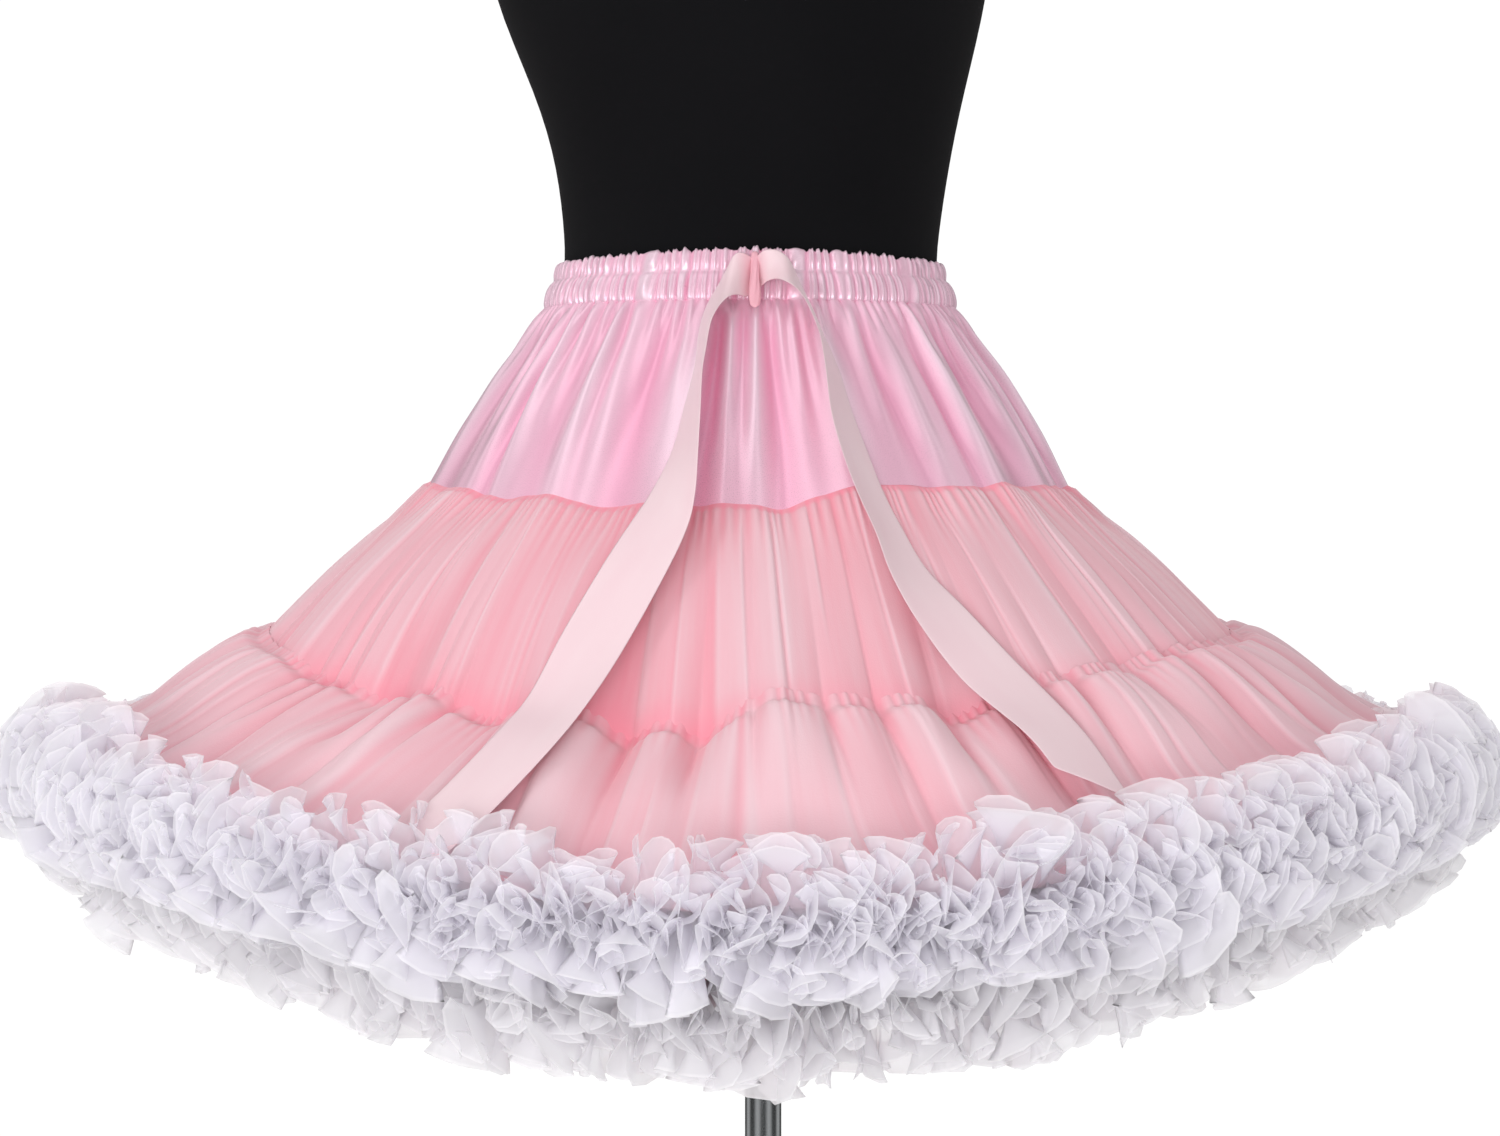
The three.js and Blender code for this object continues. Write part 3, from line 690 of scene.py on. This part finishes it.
UPPER_TURNS = np.linspace(-math.pi, math.pi, 1900, endpoint=False)
UPPER_ROWS = [
    # side drop, front drop, half width, half depth
    (148, 152, 211.6, 182.6),
    (152, 156.6, 215.8, 186.6),
    (168, 176, 236, 204),
    (188, 201, 259, 224),
    (208, 225, 280, 242),
    (232, 249, 301, 259.5),
    (257, 272, 320, 275),
    (263, 278, 317, 272),
]
UPPER_SEAM = 0.955  # where down its slope the lower tier is sewn on; its edge is tucked in below
upper_rows = along(UPPER_ROWS, 6)
upper_share = slope_share(upper_rows)
upper_turns = UPPER_TURNS + 0.03 * wander(UPPER_TURNS, 31, 3, 12) * upper_share
upper_flat = round_skirt(upper_rows, upper_turns)
upper_dip = seam_two_dip(upper_turns)
UPPER_WIDE_FLAPS = 46
UPPER_SLIM_FLAPS = 84
UPPER_GATHERS = 215
wide_flaps, wide_edge_highlights = flaps(UPPER_TURNS, upper_share, UPPER_WIDE_FLAPS, 34)
slim_flaps, slim_edge_highlights = flaps(UPPER_TURNS, upper_share, UPPER_SLIM_FLAPS, 36)
upper_broad = wander(UPPER_TURNS, 37, 5, 18)
upper_gathers = np.cos(UPPER_GATHERS * UPPER_TURNS + 3.0 * wander(UPPER_TURNS, 38, 10, 60))
gathers_left = 1 - step_up(upper_share, 0.02, 0.28)
upper_lift = (
    rim_of(yoke_turns, yoke_lift, upper_turns) * (1 - step_up(upper_share, 0.0, 0.4))
    + (2.6 * (wide_flaps - 0.2) + 1.4 * (slim_flaps - 0.2)) * step_up(upper_share, 0.02, 0.15)
    + 1.8 * upper_broad * step_up(upper_share, 0.1, 0.6)
    + (0.8 * upper_gathers + 1.2) * gathers_left * step_up(upper_share, 0.027, 0.06))
upper_points = upper_flat + MM * upper_lift[..., None] * outward(upper_flat)
sink(upper_points, upper_turns, (
    all_round(SEAM_ONE_DIP, upper_turns, 1.6) * (1 - upper_share) ** 3
    + upper_dip * np.minimum(1, upper_share / UPPER_SEAM) ** 2.5))
# Painted shading: crests and doubled folds paler, painted highlight lines at fold edges, painted shade in
# troughs and over the seam's dips.
upper_painted_shading = (
    0.42 + 0.5 * (wide_flaps - 0.2) + 0.32 * (slim_flaps - 0.2) + 0.4 * (wide_edge_highlights + 0.6 * slim_edge_highlights)
    + 0.07 * upper_broad + 0.16 * upper_gathers * (1 - step_up(upper_share, 0.05, 0.45))
    - 0.012 * upper_dip * upper_share)
# Deeper pink: the close-gathered net at the yoke seam and above the lower seam, with painted shade in the
# gathers' troughs and over the dips.
upper_seam_and_painted_shade = np.clip(
    0.7 * (1 - step_up(upper_share, 0.035, 0.06))
    + (0.35 + 0.015 * upper_dip) * step_up(upper_share, 0.82, 0.95)
    + 0.25 * np.clip(-upper_gathers, 0, 1) * gathers_left, 0, 1)
tier_upper = cloth("tier_upper_tulle", upper_points, fold=np.clip(upper_painted_shading, 0, 1), seam=upper_seam_and_painted_shade)
finish_cloth(tier_upper, tulle_finish("peach_tulle", 210), "tier_upper")

# Lower tier: the same tulle, cut longer still and gathered onto the upper tier.
# It puffs up below the seam and falls in broad sheer panels, parted by narrow deep creases.
LOWER_TURNS = np.linspace(-math.pi, math.pi, 1760, endpoint=False)
LOWER_ROWS = [
    # side drop, front drop, half width, half depth
    (253.6, 268.8, 318.0, 273.4),
    (256.0, 272.2, 321.8, 276.4),
    (259.6, 277.6, 329.0, 282.0),
    (267, 290, 350, 298),
    (280, 308, 378, 320),
    (294, 328, 404, 341),
    (307, 346, 431, 361),
    (320, 367, 457, 381),
]
lower_rows = along(LOWER_ROWS, 8)
lower_share = slope_share(lower_rows)
lower_turns = LOWER_TURNS + 0.035 * wander(LOWER_TURNS, 41, 3, 14) * lower_share
lower_flat = round_skirt(lower_rows, lower_turns)
lower_dip = seam_two_dip(lower_turns)
lower_billow = puffs(puff_line(LOWER_TURNS) / 2)
lower_puffs = puffs(puff_line(LOWER_TURNS))
LOWER_WIDE_FLAPS = 44
LOWER_SLIM_FLAPS = 90
LOWER_GATHERS = 260
wide_flaps, wide_edge_highlights = flaps(LOWER_TURNS, lower_share, LOWER_WIDE_FLAPS, 44)
slim_flaps, slim_edge_highlights = flaps(LOWER_TURNS, lower_share, LOWER_SLIM_FLAPS, 46)
lower_gathers = np.cos(LOWER_GATHERS * LOWER_TURNS + 3.0 * wander(LOWER_TURNS, 48, 10, 70))
gathers_left = 1 - step_up(lower_share, 0.02, 0.22)
puff_height = step_up(lower_share, 0.05, 0.11) * (1 - step_up(lower_share, 0.12, 0.6))
lower_lift = (
    rim_of(upper_turns, upper_lift, lower_turns) * (1 - step_up(lower_share, 0.0, 0.5))
    + 3.0 * lower_billow * step_up(lower_share, 0.1, 0.5)
    + (3.6 + 3.0 * lower_puffs) * puff_height
    + (4.0 * (wide_flaps - 0.2) + 2.4 * (slim_flaps - 0.2)) * step_up(lower_share, 0.05, 0.17)
    + 0.6 * lower_gathers * gathers_left)
lower_points = lower_flat + MM * lower_lift[..., None] * outward(lower_flat)
sink(lower_points, lower_turns, lower_dip * (1 - step_up(lower_share, 0.0, 0.75)))
# Painted shading: puffs, billows and panels paler on their crests, painted highlight lines at panel edges,
# painted shade in creases and dips.
lower_painted_shading = (
    0.5 + 0.55 * (wide_flaps - 0.2) + 0.35 * (slim_flaps - 0.2) + 0.55 * (wide_edge_highlights + 0.6 * slim_edge_highlights)
    + 0.1 * lower_billow + 0.12 * lower_puffs * puff_height
    + 0.14 * lower_gathers * (1 - step_up(lower_share, 0.05, 0.35))
    - 0.008 * lower_dip * (1 - step_up(lower_share, 0.0, 0.7)))
# Deeper pink: the close-gathered net at the seam, with painted shade in the gathers' troughs and the pinches
# between puffs.
lower_seam_and_painted_shade = np.clip(
    (0.3 + 0.02 * lower_dip) * (1 - step_up(lower_share, 0.02, 0.1))
    + 0.25 * np.clip(-lower_gathers, 0, 1) * gathers_left
    + 0.3 * np.clip(-lower_puffs, 0, 1) * puff_height, 0, 1)
tier_lower = cloth("tier_lower_tulle", lower_points, fold=np.clip(lower_painted_shading, 0, 1), seam=lower_seam_and_painted_shade)
finish_cloth(tier_lower, tulle_finish("peach_tulle_lower", 260), "tier_lower")

# Under layer: a second pair of tulle tiers inside the first, smoother and a little longer.
# It is caught in the yoke's seam and shows only below the outer hem.
UNDER_TURNS = np.linspace(-math.pi, math.pi, 420, endpoint=False)
UNDER_FOLDS = 36
UNDER_UPPER_ROWS = [
    # side drop, front drop, half width, half depth
    (155.4, 159.4, 204.6, 175.6),
    (180, 190, 233, 202),
    (208, 222, 258, 224),
    (240, 257, 281, 241),
    (272, 292, 304, 258),
]
UNDER_LOWER_ROWS = [
    # side drop, front drop, half width, half depth
    (272.2, 292.2, 304.2, 258.1),
    (295, 321, 337, 284),
    (318, 352, 370, 310),
    (339, 386, 401, 336),
    (360, 421, 431, 361),
]
under_finish = tulle_finish("peach_tulle_under", 180)
for name, node, table, seed, flat in (
        ("under_tier_upper_tulle", "under_tier_upper", UNDER_UPPER_ROWS, 51, (1.7, 0.16)),
        ("under_tier_lower_tulle", "under_tier_lower", UNDER_LOWER_ROWS, 55, (2.4, 0.18))):
    under_rows = along(table, 4)
    under_flat = round_skirt(under_rows, UNDER_TURNS)
    under_share = slope_share(under_rows)
    under_wave = folds(UNDER_TURNS, UNDER_FOLDS, seed)
    under_lift = 1.6 * under_wave * np.sin(math.pi * np.clip(under_share, 0.06, 1) * 0.75)
    under_points = under_flat + MM * under_lift[..., None] * outward(under_flat)
    # Painted shading: fold crests painted paler, troughs deeper pink as painted shade.
    under = cloth(name, under_points, fold=np.clip(0.5 + 0.2 * under_wave, 0, 1), seam=0.0)
    finish_cloth(under, under_finish, node)

# Hem ruffle: strips of white chiffon, gathered along their middle and sewn round the lower tier's edge.
# Both free edges stand away in crowded curling lobes, so the strips together make one full froth.


def chiffon_finish(name, body, edge):
    """Sheer chiffon: much of the light passes straight through it, and its cut edge is closer and whiter, the
    whiteness partly its rolled edge and partly painted highlight.
    """
    material, tree, shader = new_material(
        name, Roughness=0.85, Specular_IOR_Level=0.1, Sheen_Weight=0.0)
    tint = mix_colours(tree, from_shade(tree, "mottle"), tuple(0.97 * value for value in body), body)
    # The edge's whiter colour: partly the rolled edge, partly painted highlight.
    tone = mix_colours(tree, from_shade(tree, "edge"), tint, edge)
    cover = from_shade(tree, "cover")
    tree.links.new(tone, shader.inputs["Base Color"])
    tree.links.new(cover, shader.inputs["Alpha"])
    glow = add_node(tree, "ShaderNodeBsdfTranslucent", {"Color": tone})
    clear = add_node(tree, "ShaderNodeBsdfTransparent")
    through = add_node(
        tree, "ShaderNodeMixShader",
        {0: cover, 1: clear.outputs["BSDF"], 2: glow.outputs["BSDF"]})
    mixed = add_node(
        tree, "ShaderNodeMixShader",
        {0: 0.5, 1: shader.outputs["BSDF"], 2: through.outputs["Shader"]})
    tree.links.new(mixed.outputs["Shader"], tree.nodes["Material Output"].inputs["Surface"])
    return material


REACHES = np.array([0, 0.15, 0.32, 0.5, 0.68, 0.84, 0.95, 1.0])  # from the stitching to the free edge
CRUMPLE = np.radians(36)  # how far fine creases tip the cloth near its free edge
SKEW = np.radians(30)  # how far they turn it sideways


def ruffle_side(stitch, out, round_way, turns, line, lobe, seed):
    """Rows of points from the stitching to one free edge, which swings, loops and curls as it goes."""
    swing = np.radians(lobe["swing"]) * (1 + 0.4 * wander(turns, seed + 2, 10, 90))
    middle = np.radians(lobe["angle"]) + np.radians(11) * wander(turns, seed + 3, 5, 60)
    curl = np.radians(lobe["curl"]) * wander(turns, seed + 4, 40, 220)
    length = lobe["length"] * (1 + 0.18 * wander(turns, seed + 5, 25, 150))
    crinkle = wander(turns, seed + 6, 240, 520)
    ripple = wander(turns, seed + 7, 240, 520)
    twist = wander(turns, seed + 8, 30, 140)
    rows = [stitch]
    for near, far in zip(REACHES, REACHES[1:]):
        reach = (near + far) / 2
        angle = middle + swing * np.sin(line + 1.1 * twist * reach) + curl * reach ** 2
        angle = angle + CRUMPLE * reach * crinkle
        aside = np.radians(lobe["loop"]) * np.sin(2 * line + 0.9 * reach) + SKEW * reach * ripple
        way = out * (np.cos(angle) * np.cos(aside))[..., None] + round_way * np.sin(aside)[..., None]
        way[..., 2] += np.sin(angle) * np.cos(aside)
        rows.append(rows[-1] + MM * (length * (far - near))[..., None] * way)
    return rows


def ruffle_strip(edge_row, strip, turns, top_dip):
    """Points of one gathered strip, from its upper free edge over the stitching to its lower one."""
    seed = strip["seed"]
    row = np.array(edge_row, float) + [strip["along"] * 0.7, strip["along"], strip["along"], strip["along"]]
    stitch = round_skirt([row], turns)[0]
    round_way = unit(np.roll(stitch, -1, 0) - np.roll(stitch, 1, 0))
    out = unit(np.stack([round_way[:, 1], -round_way[:, 0], 0 * turns], -1))
    stitch = stitch + MM * strip["off"] * out
    stitch[:, 2] += MM * 3.0 * wander(turns, seed + 9, 8, 60)
    line = strip["lobes"] * turns + 2.4 * wander(turns, seed, 4, 46)
    top = dict(strip["top"])
    top["length"] = np.maximum(8, top["length"] - 0.45 * top_dip)
    above = ruffle_side(stitch, out, round_way, turns, line + 0.7, top, seed + 10)
    below = ruffle_side(stitch, out, round_way, turns, line, strip["foot"], seed + 30)
    return np.stack(above[:0:-1] + below)


def ruffle(node, material, edge_row, strips, turns, top_dip):
    """The strips of one ruffle, each a piece of its own."""
    for strip in strips:
        points = ruffle_strip(edge_row, strip, turns, top_dip)
        # Free edges: closer cover, and a whiter colour that is partly painted highlight.
        edge = 0.1 + 0.9 * (np.abs(np.linspace(-1, 1, len(points))) > 0.93)[:, None]
        cover = strip["cover"] + 0.12 * edge
        mottle = 0.5 + 0.5 * wander(turns, strip["seed"] + 50, 60, 300)
        piece = cloth(strip["name"], points, edge=edge, cover=cover, mottle=np.clip(mottle, 0, 1))
        finish_cloth(piece, material, node)


def lobes(angle, length, swing, loop, curl):
    """How one side of a strip stands: its angle, length, swing, loops and curl."""
    return {"angle": angle, "length": length, "swing": swing, "loop": loop, "curl": curl}


RUFFLE_TOP_DIP = [
    # turn from the front in degrees, how far the ruffle's top edge dips there in millimetres
    (-84, 12), (-72, -4), (-56, -9), (-48, 2), (-46, 10), (-41, 4), (-36, 11), (-31, 8), (-28, 20), (-24, 8),
    (-19, 8), (-14, 0), (-10.6, 23), (-6.8, 26), (-5.6, 2), (-1, 0), (0.5, 14), (3, 10), (6, -8),
    (10, 10), (12, 12), (15, -14), (18, -13), (21, 3), (24, -5), (28, 5), (33, -6), (38, 0),
    (45, 5), (48, -8), (54, -13), (72, -6), (84, 12),
]
HEM_TURNS = np.linspace(-math.pi, math.pi, 3600, endpoint=False)
HEM_EDGE = (320, 366, 458, 382)  # side drop, front drop, half width, half depth
HEM_STRIPS = [
    {"name": "hem_ruffle_strip_one", "cover": 0.62, "seed": 200, "lobes": 106, "along": -7, "off": 1.5,
     "flat": (8.0, 0.067), "top": lobes(66, 35, 26, 14, 40), "foot": lobes(-38, 32, 28, 15, 50)},
    {"name": "hem_ruffle_strip_two", "cover": 0.68, "seed": 300, "lobes": 164, "along": -2, "off": 3.0,
     "flat": (9.0, 0.062), "top": lobes(42, 31, 26, 12, 60), "foot": lobes(-16, 31, 28, 12, 60)},
    {"name": "hem_ruffle_strip_three", "cover": 0.72, "seed": 400, "lobes": 196, "along": 3, "off": 3.0,
     "flat": (11.0, 0.063), "top": lobes(14, 28, 30, 12, 60), "foot": lobes(-44, 35, 25, 12, 60)},
    {"name": "hem_ruffle_strip_four", "cover": 0.72, "seed": 700, "lobes": 246, "along": 6, "off": 2.0,
     "flat": (13.5, 0.068), "top": lobes(-10, 27, 30, 12, 60), "foot": lobes(-66, 41, 18, 12, 60)},
]
behind_sides = step_up(-np.cos(HEM_TURNS), -0.06, 0.12) * (1 - step_up(-np.cos(HEM_TURNS), 0.7, 0.95))
hem_top_dip = all_round(RUFFLE_TOP_DIP, HEM_TURNS, 1.0) + 44 * behind_sides
white_chiffon = chiffon_finish("white_chiffon", (0.965, 0.948, 0.992), (0.99, 0.98, 0.998))
ruffle("hem_ruffle", white_chiffon, HEM_EDGE, HEM_STRIPS, HEM_TURNS, hem_top_dip)

# Under ruffle: strips of off-white chiffon on the under layer's edge, wider and hanging lower.
# They are gathered and sewn as the outer strips are.
UNDER_EDGE = (360, 421, 432.5, 362.5)
UNDER_STRIPS = [
    {"name": "under_ruffle_strip_one", "cover": 0.76, "seed": 500, "lobes": 118, "along": -16, "off": 1.0,
     "flat": (9.0, 0.081), "top": lobes(62, 48, 22, 14, 40), "foot": lobes(-22, 33, 28, 15, 55)},
    {"name": "under_ruffle_strip_two", "cover": 0.72, "seed": 600, "lobes": 160, "along": -6, "off": 1.5,
     "flat": (10.0, 0.073), "top": lobes(36, 37, 28, 12, 55), "foot": lobes(-44, 36, 28, 12, 55)},
    {"name": "under_ruffle_strip_three", "cover": 0.72, "seed": 800, "lobes": 190, "along": 1, "off": 1.5,
     "flat": (11.0, 0.073), "top": lobes(6, 33, 30, 12, 55), "foot": lobes(-64, 40, 22, 12, 45)},
]
UNDER_HEM_TURNS = np.linspace(-math.pi, math.pi, 3400, endpoint=False)
cream_chiffon = chiffon_finish("cream_chiffon", (0.965, 0.952, 0.974), (0.98, 0.97, 0.982))
ruffle("under_ruffle", cream_chiffon, UNDER_EDGE, UNDER_STRIPS, UNDER_HEM_TURNS,
       np.zeros(len(UNDER_HEM_TURNS)))

# Ribbon tie: pale pink satin ribbon, 38 mm wide, passed through the casing and tied once in front.
# Each tail arches out of the knot, falls edge on, and then lies flat down the skirt to a slanted cut.
RIBBON_LEFT = [
    # left edge sideways, forward and down in mm from the form's middle at the waist, then the right edge
    (0.6, 110, 5.2, 0.6, 110, 27.0), (-4.4, 113, 2.6, -3.1, 115, 30.7), (-9.4, 114, 3.6, -7.5, 121, 29.9),
    (-14.4, 113, 11.6, -13.0, 130, 31.7), (-20.7, 111, 23.3, -18.8, 138, 36.8),
    (-26.3, 113, 34.0, -23.9, 146, 44.6), (-29.9, 119, 44.3, -26.5, 154, 53.5),
    (-32.2, 128.5, 56.0, -27.8, 164, 64.3), (-34.4, 143, 74.4, -29.0, 177, 78.0),
    (-40.7, 160, 99.8, -29.1, 190.5, 102.7), (-47.8, 176, 127.1, -29.7, 204, 127.1),
    (-59.5, 191, 151.5, -31.3, 213, 151.1), (-70.8, 205, 169.5, -36.1, 221.5, 171.3),
    (-85.1, 222, 192.3, -49.1, 236, 198.5), (-107.3, 245.5, 230.8, -72.7, 259, 240.6),
    (-125.0, 266.4, 264.9, -92.1, 285, 269.1), (-142.2, 291.6, 284.0, -110.0, 311, 290.5),
    (-167.5, 320.6, 308.9, -137.6, 341.1, 318.9), (-189.4, 342.6, 328.4, -159.4, 363.9, 338.2),
]
RIBBON_RIGHT = [
    (5.0, 110, 27.0, 4.4, 110, 5.2), (9.4, 114, 21.7, 8.8, 112.5, 1.6), (14.9, 119, 19.5, 15.6, 113.5, 1.1),
    (20.4, 127, 20.5, 23.1, 113, 5.4), (26.5, 136, 24.4, 29.4, 111, 15.8), (31.6, 143, 30.3, 34.5, 110, 25.7),
    (36.1, 149, 39.0, 38.8, 112, 34.9), (40.2, 154, 48.7, 42.8, 117, 44.8),
    (43.3, 162, 58.2, 47.2, 126, 56.5),
    (46.2, 174.5, 77.9, 54.5, 140, 76.7), (48.8, 187.5, 102.7, 61.3, 155.5, 102.2),
    (54.6, 200, 127.1, 70.0, 170, 127.1), (62.6, 211, 151.1, 79.5, 184, 151.6),
    (72.2, 223, 174.2, 91.6, 199, 175.0), (80.5, 236, 197.9, 104.5, 213, 196.2),
    (96.3, 247, 225.5, 125.7, 226, 217.7), (121.4, 261.8, 257.4, 151.5, 241.3, 245.5),
    (153.8, 296.7, 284.0, 185.1, 274.9, 281.5), (172.0, 327.5, 305.8, 203.8, 307.4, 309.7),
]


def from_waist(table):
    """Points given in millimetres sideways, forward and down from the form's middle at the waist."""
    sideways, forward, down = np.asarray(table, float).T
    return np.stack([FORM_X + MM * sideways, -MM * forward, WAIST_TOP - MM * down], -1)


def ribbon_tail(name, route, slant, shade):
    """A flat ribbon between the curves of its two edges, with a slanted end."""
    rows = along(route, 8)
    left_edge = from_waist(rows[:, :3])
    right_edge = from_waist(rows[:, 3:])
    middles = (left_edge + right_edge) / 2
    half = (right_edge - left_edge) / 2
    run = unit(np.gradient(middles, axis=0))
    face = unit(np.cross(run, half))
    sides = np.linspace(-1, 1, 9)
    share = np.linspace(0, 1, len(rows))[:, None]
    cup = MM * (1.2 * (sides ** 2 - 0.4) * np.cos(9 * share) + 0.8 * sides * np.sin(14 * share))
    points = middles[:, None] + half[:, None] * sides[:, None] + face[:, None] * cup[..., None]
    points = points + run[:, None] * (MM * slant * sides * step_up(share, 0.84, 1))[..., None]
    # Painted shade: each tail is painted deeper pink where it leaves the knot, turning pale within its first
    # part.
    piece = cloth(name, points[:, ::-1], closed=False, fold=np.clip(shade + share * 8, 0, 1))
    thicken = piece.modifiers.new("thickness", "SOLIDIFY")
    thicken.thickness = 0.0006
    thicken.offset = 0
    smoother = piece.modifiers.new("smoothing", "SUBSURF")
    smoother.levels = 1
    smoother.render_levels = 1
    bpy.ops.object.select_all(action="DESELECT")
    bpy.context.view_layer.objects.active = piece
    piece.select_set(True)
    bpy.ops.object.modifier_apply(modifier=thicken.name)
    bpy.ops.object.modifier_apply(modifier=smoother.name)
    return piece


def ribbon_finish():
    """Pale pink satin ribbon with fine cross ribs, a deeper pink in the shade of the knot."""
    material, tree, shader = new_material(
        "pale_ribbon_satin", Roughness=0.42, IOR=1.45, Sheen_Weight=0.3, Sheen_Roughness=0.4,
        Coat_Weight=0.08, Coat_Roughness=0.3)
    ribs = add_node(
        tree, "ShaderNodeTexWave", {"Vector": cloth_place(tree, 1, 240), "Scale": 1.0, "Distortion": 0.4},
        bands_direction="Y")
    drift = add_node(
        tree, "ShaderNodeTexNoise", {"Vector": cloth_place(tree, 2, 9), "Scale": 1.0, "Detail": 2.0})
    pale = mix_colours(tree, drift.outputs["Fac"], (0.77, 0.545, 0.59), (0.80, 0.63, 0.66))
    # The deeper pink near the knot is painted shade; the pale tones vary at random along the ribbon.
    tone = mix_colours(tree, from_shade(tree, "fold"), (0.79, 0.38, 0.455), pale)
    bump = add_node(
        tree, "ShaderNodeBump", {"Height": ribs.outputs["Fac"], "Strength": 0.06, "Distance": 0.0002})
    tree.links.new(tone, shader.inputs["Base Color"])
    tree.links.new(bump.outputs["Normal"], shader.inputs["Normal"])
    return material


pale_ribbon = ribbon_finish()
ribbon_left = ribbon_tail("ribbon_tail_left", RIBBON_LEFT, 9, 0.15)
finish_cloth(ribbon_left, pale_ribbon, "ribbon_left")
ribbon_right = ribbon_tail("ribbon_tail_right", RIBBON_RIGHT, 14, 0.35)
finish_cloth(ribbon_right, pale_ribbon, "ribbon_right")

# Ribbon knot: the ribbon crossed over itself and pulled tight, with a crumpled, folded tab hanging under it.
# It is painted all over in the ribbon's deeper pink, as painted shade.
KNOT_LEVELS = [
    # sideways, forward and down, then half width, half depth, and how deep its creases are
    (3, 108.5, 1.5, 1.0, 0.8, 0.0), (3, 109, 3, 2.3, 1.8, 0.4), (3, 110.5, 8, 2.7, 2.6, 0.8),
    (3, 113, 16, 2.9, 3.2, 1.0), (3, 115.5, 22, 3.4, 3.4, 1.0), (3, 117.5, 27, 4.0, 3.0, 0.8),
    (3, 119.5, 31, 4.0, 2.2, 0.6), (3, 122.5, 35.5, 3.0, 1.4, 0.4), (3, 123.5, 37.5, 0.6, 0.3, 0.0),
]
knot_turns = np.linspace(-math.pi, math.pi, 64, endpoint=False)
knot_rows = along(KNOT_LEVELS, 4)
knot_wide, knot_deep, knot_crease = (column[:, None] for column in knot_rows.T[3:])
knot_pleat = 1 - 0.2 * knot_crease * np.abs(np.sin(3.5 * knot_turns + 0.12 * knot_rows[:, 2:3]))
knot_round = np.stack([
    knot_wide * knot_pleat * np.sin(knot_turns), -knot_deep * knot_pleat * np.cos(knot_turns),
    0 * knot_pleat], -1)
knot_points = from_waist(knot_rows[:, :3])[:, None] + MM * knot_round
# Painted shade: the whole knot takes the ribbon's deepest pink.
knot = cloth("ribbon_knot_satin", knot_points, fold=0.1)
edit(knot)
select_where(knot, "edges", lambda middle, part: part.is_boundary)
bpy.ops.mesh.fill_holes(sides=0)
bpy.ops.object.mode_set(mode="OBJECT")
finish_cloth(knot, pale_ribbon, "ribbon_knot")
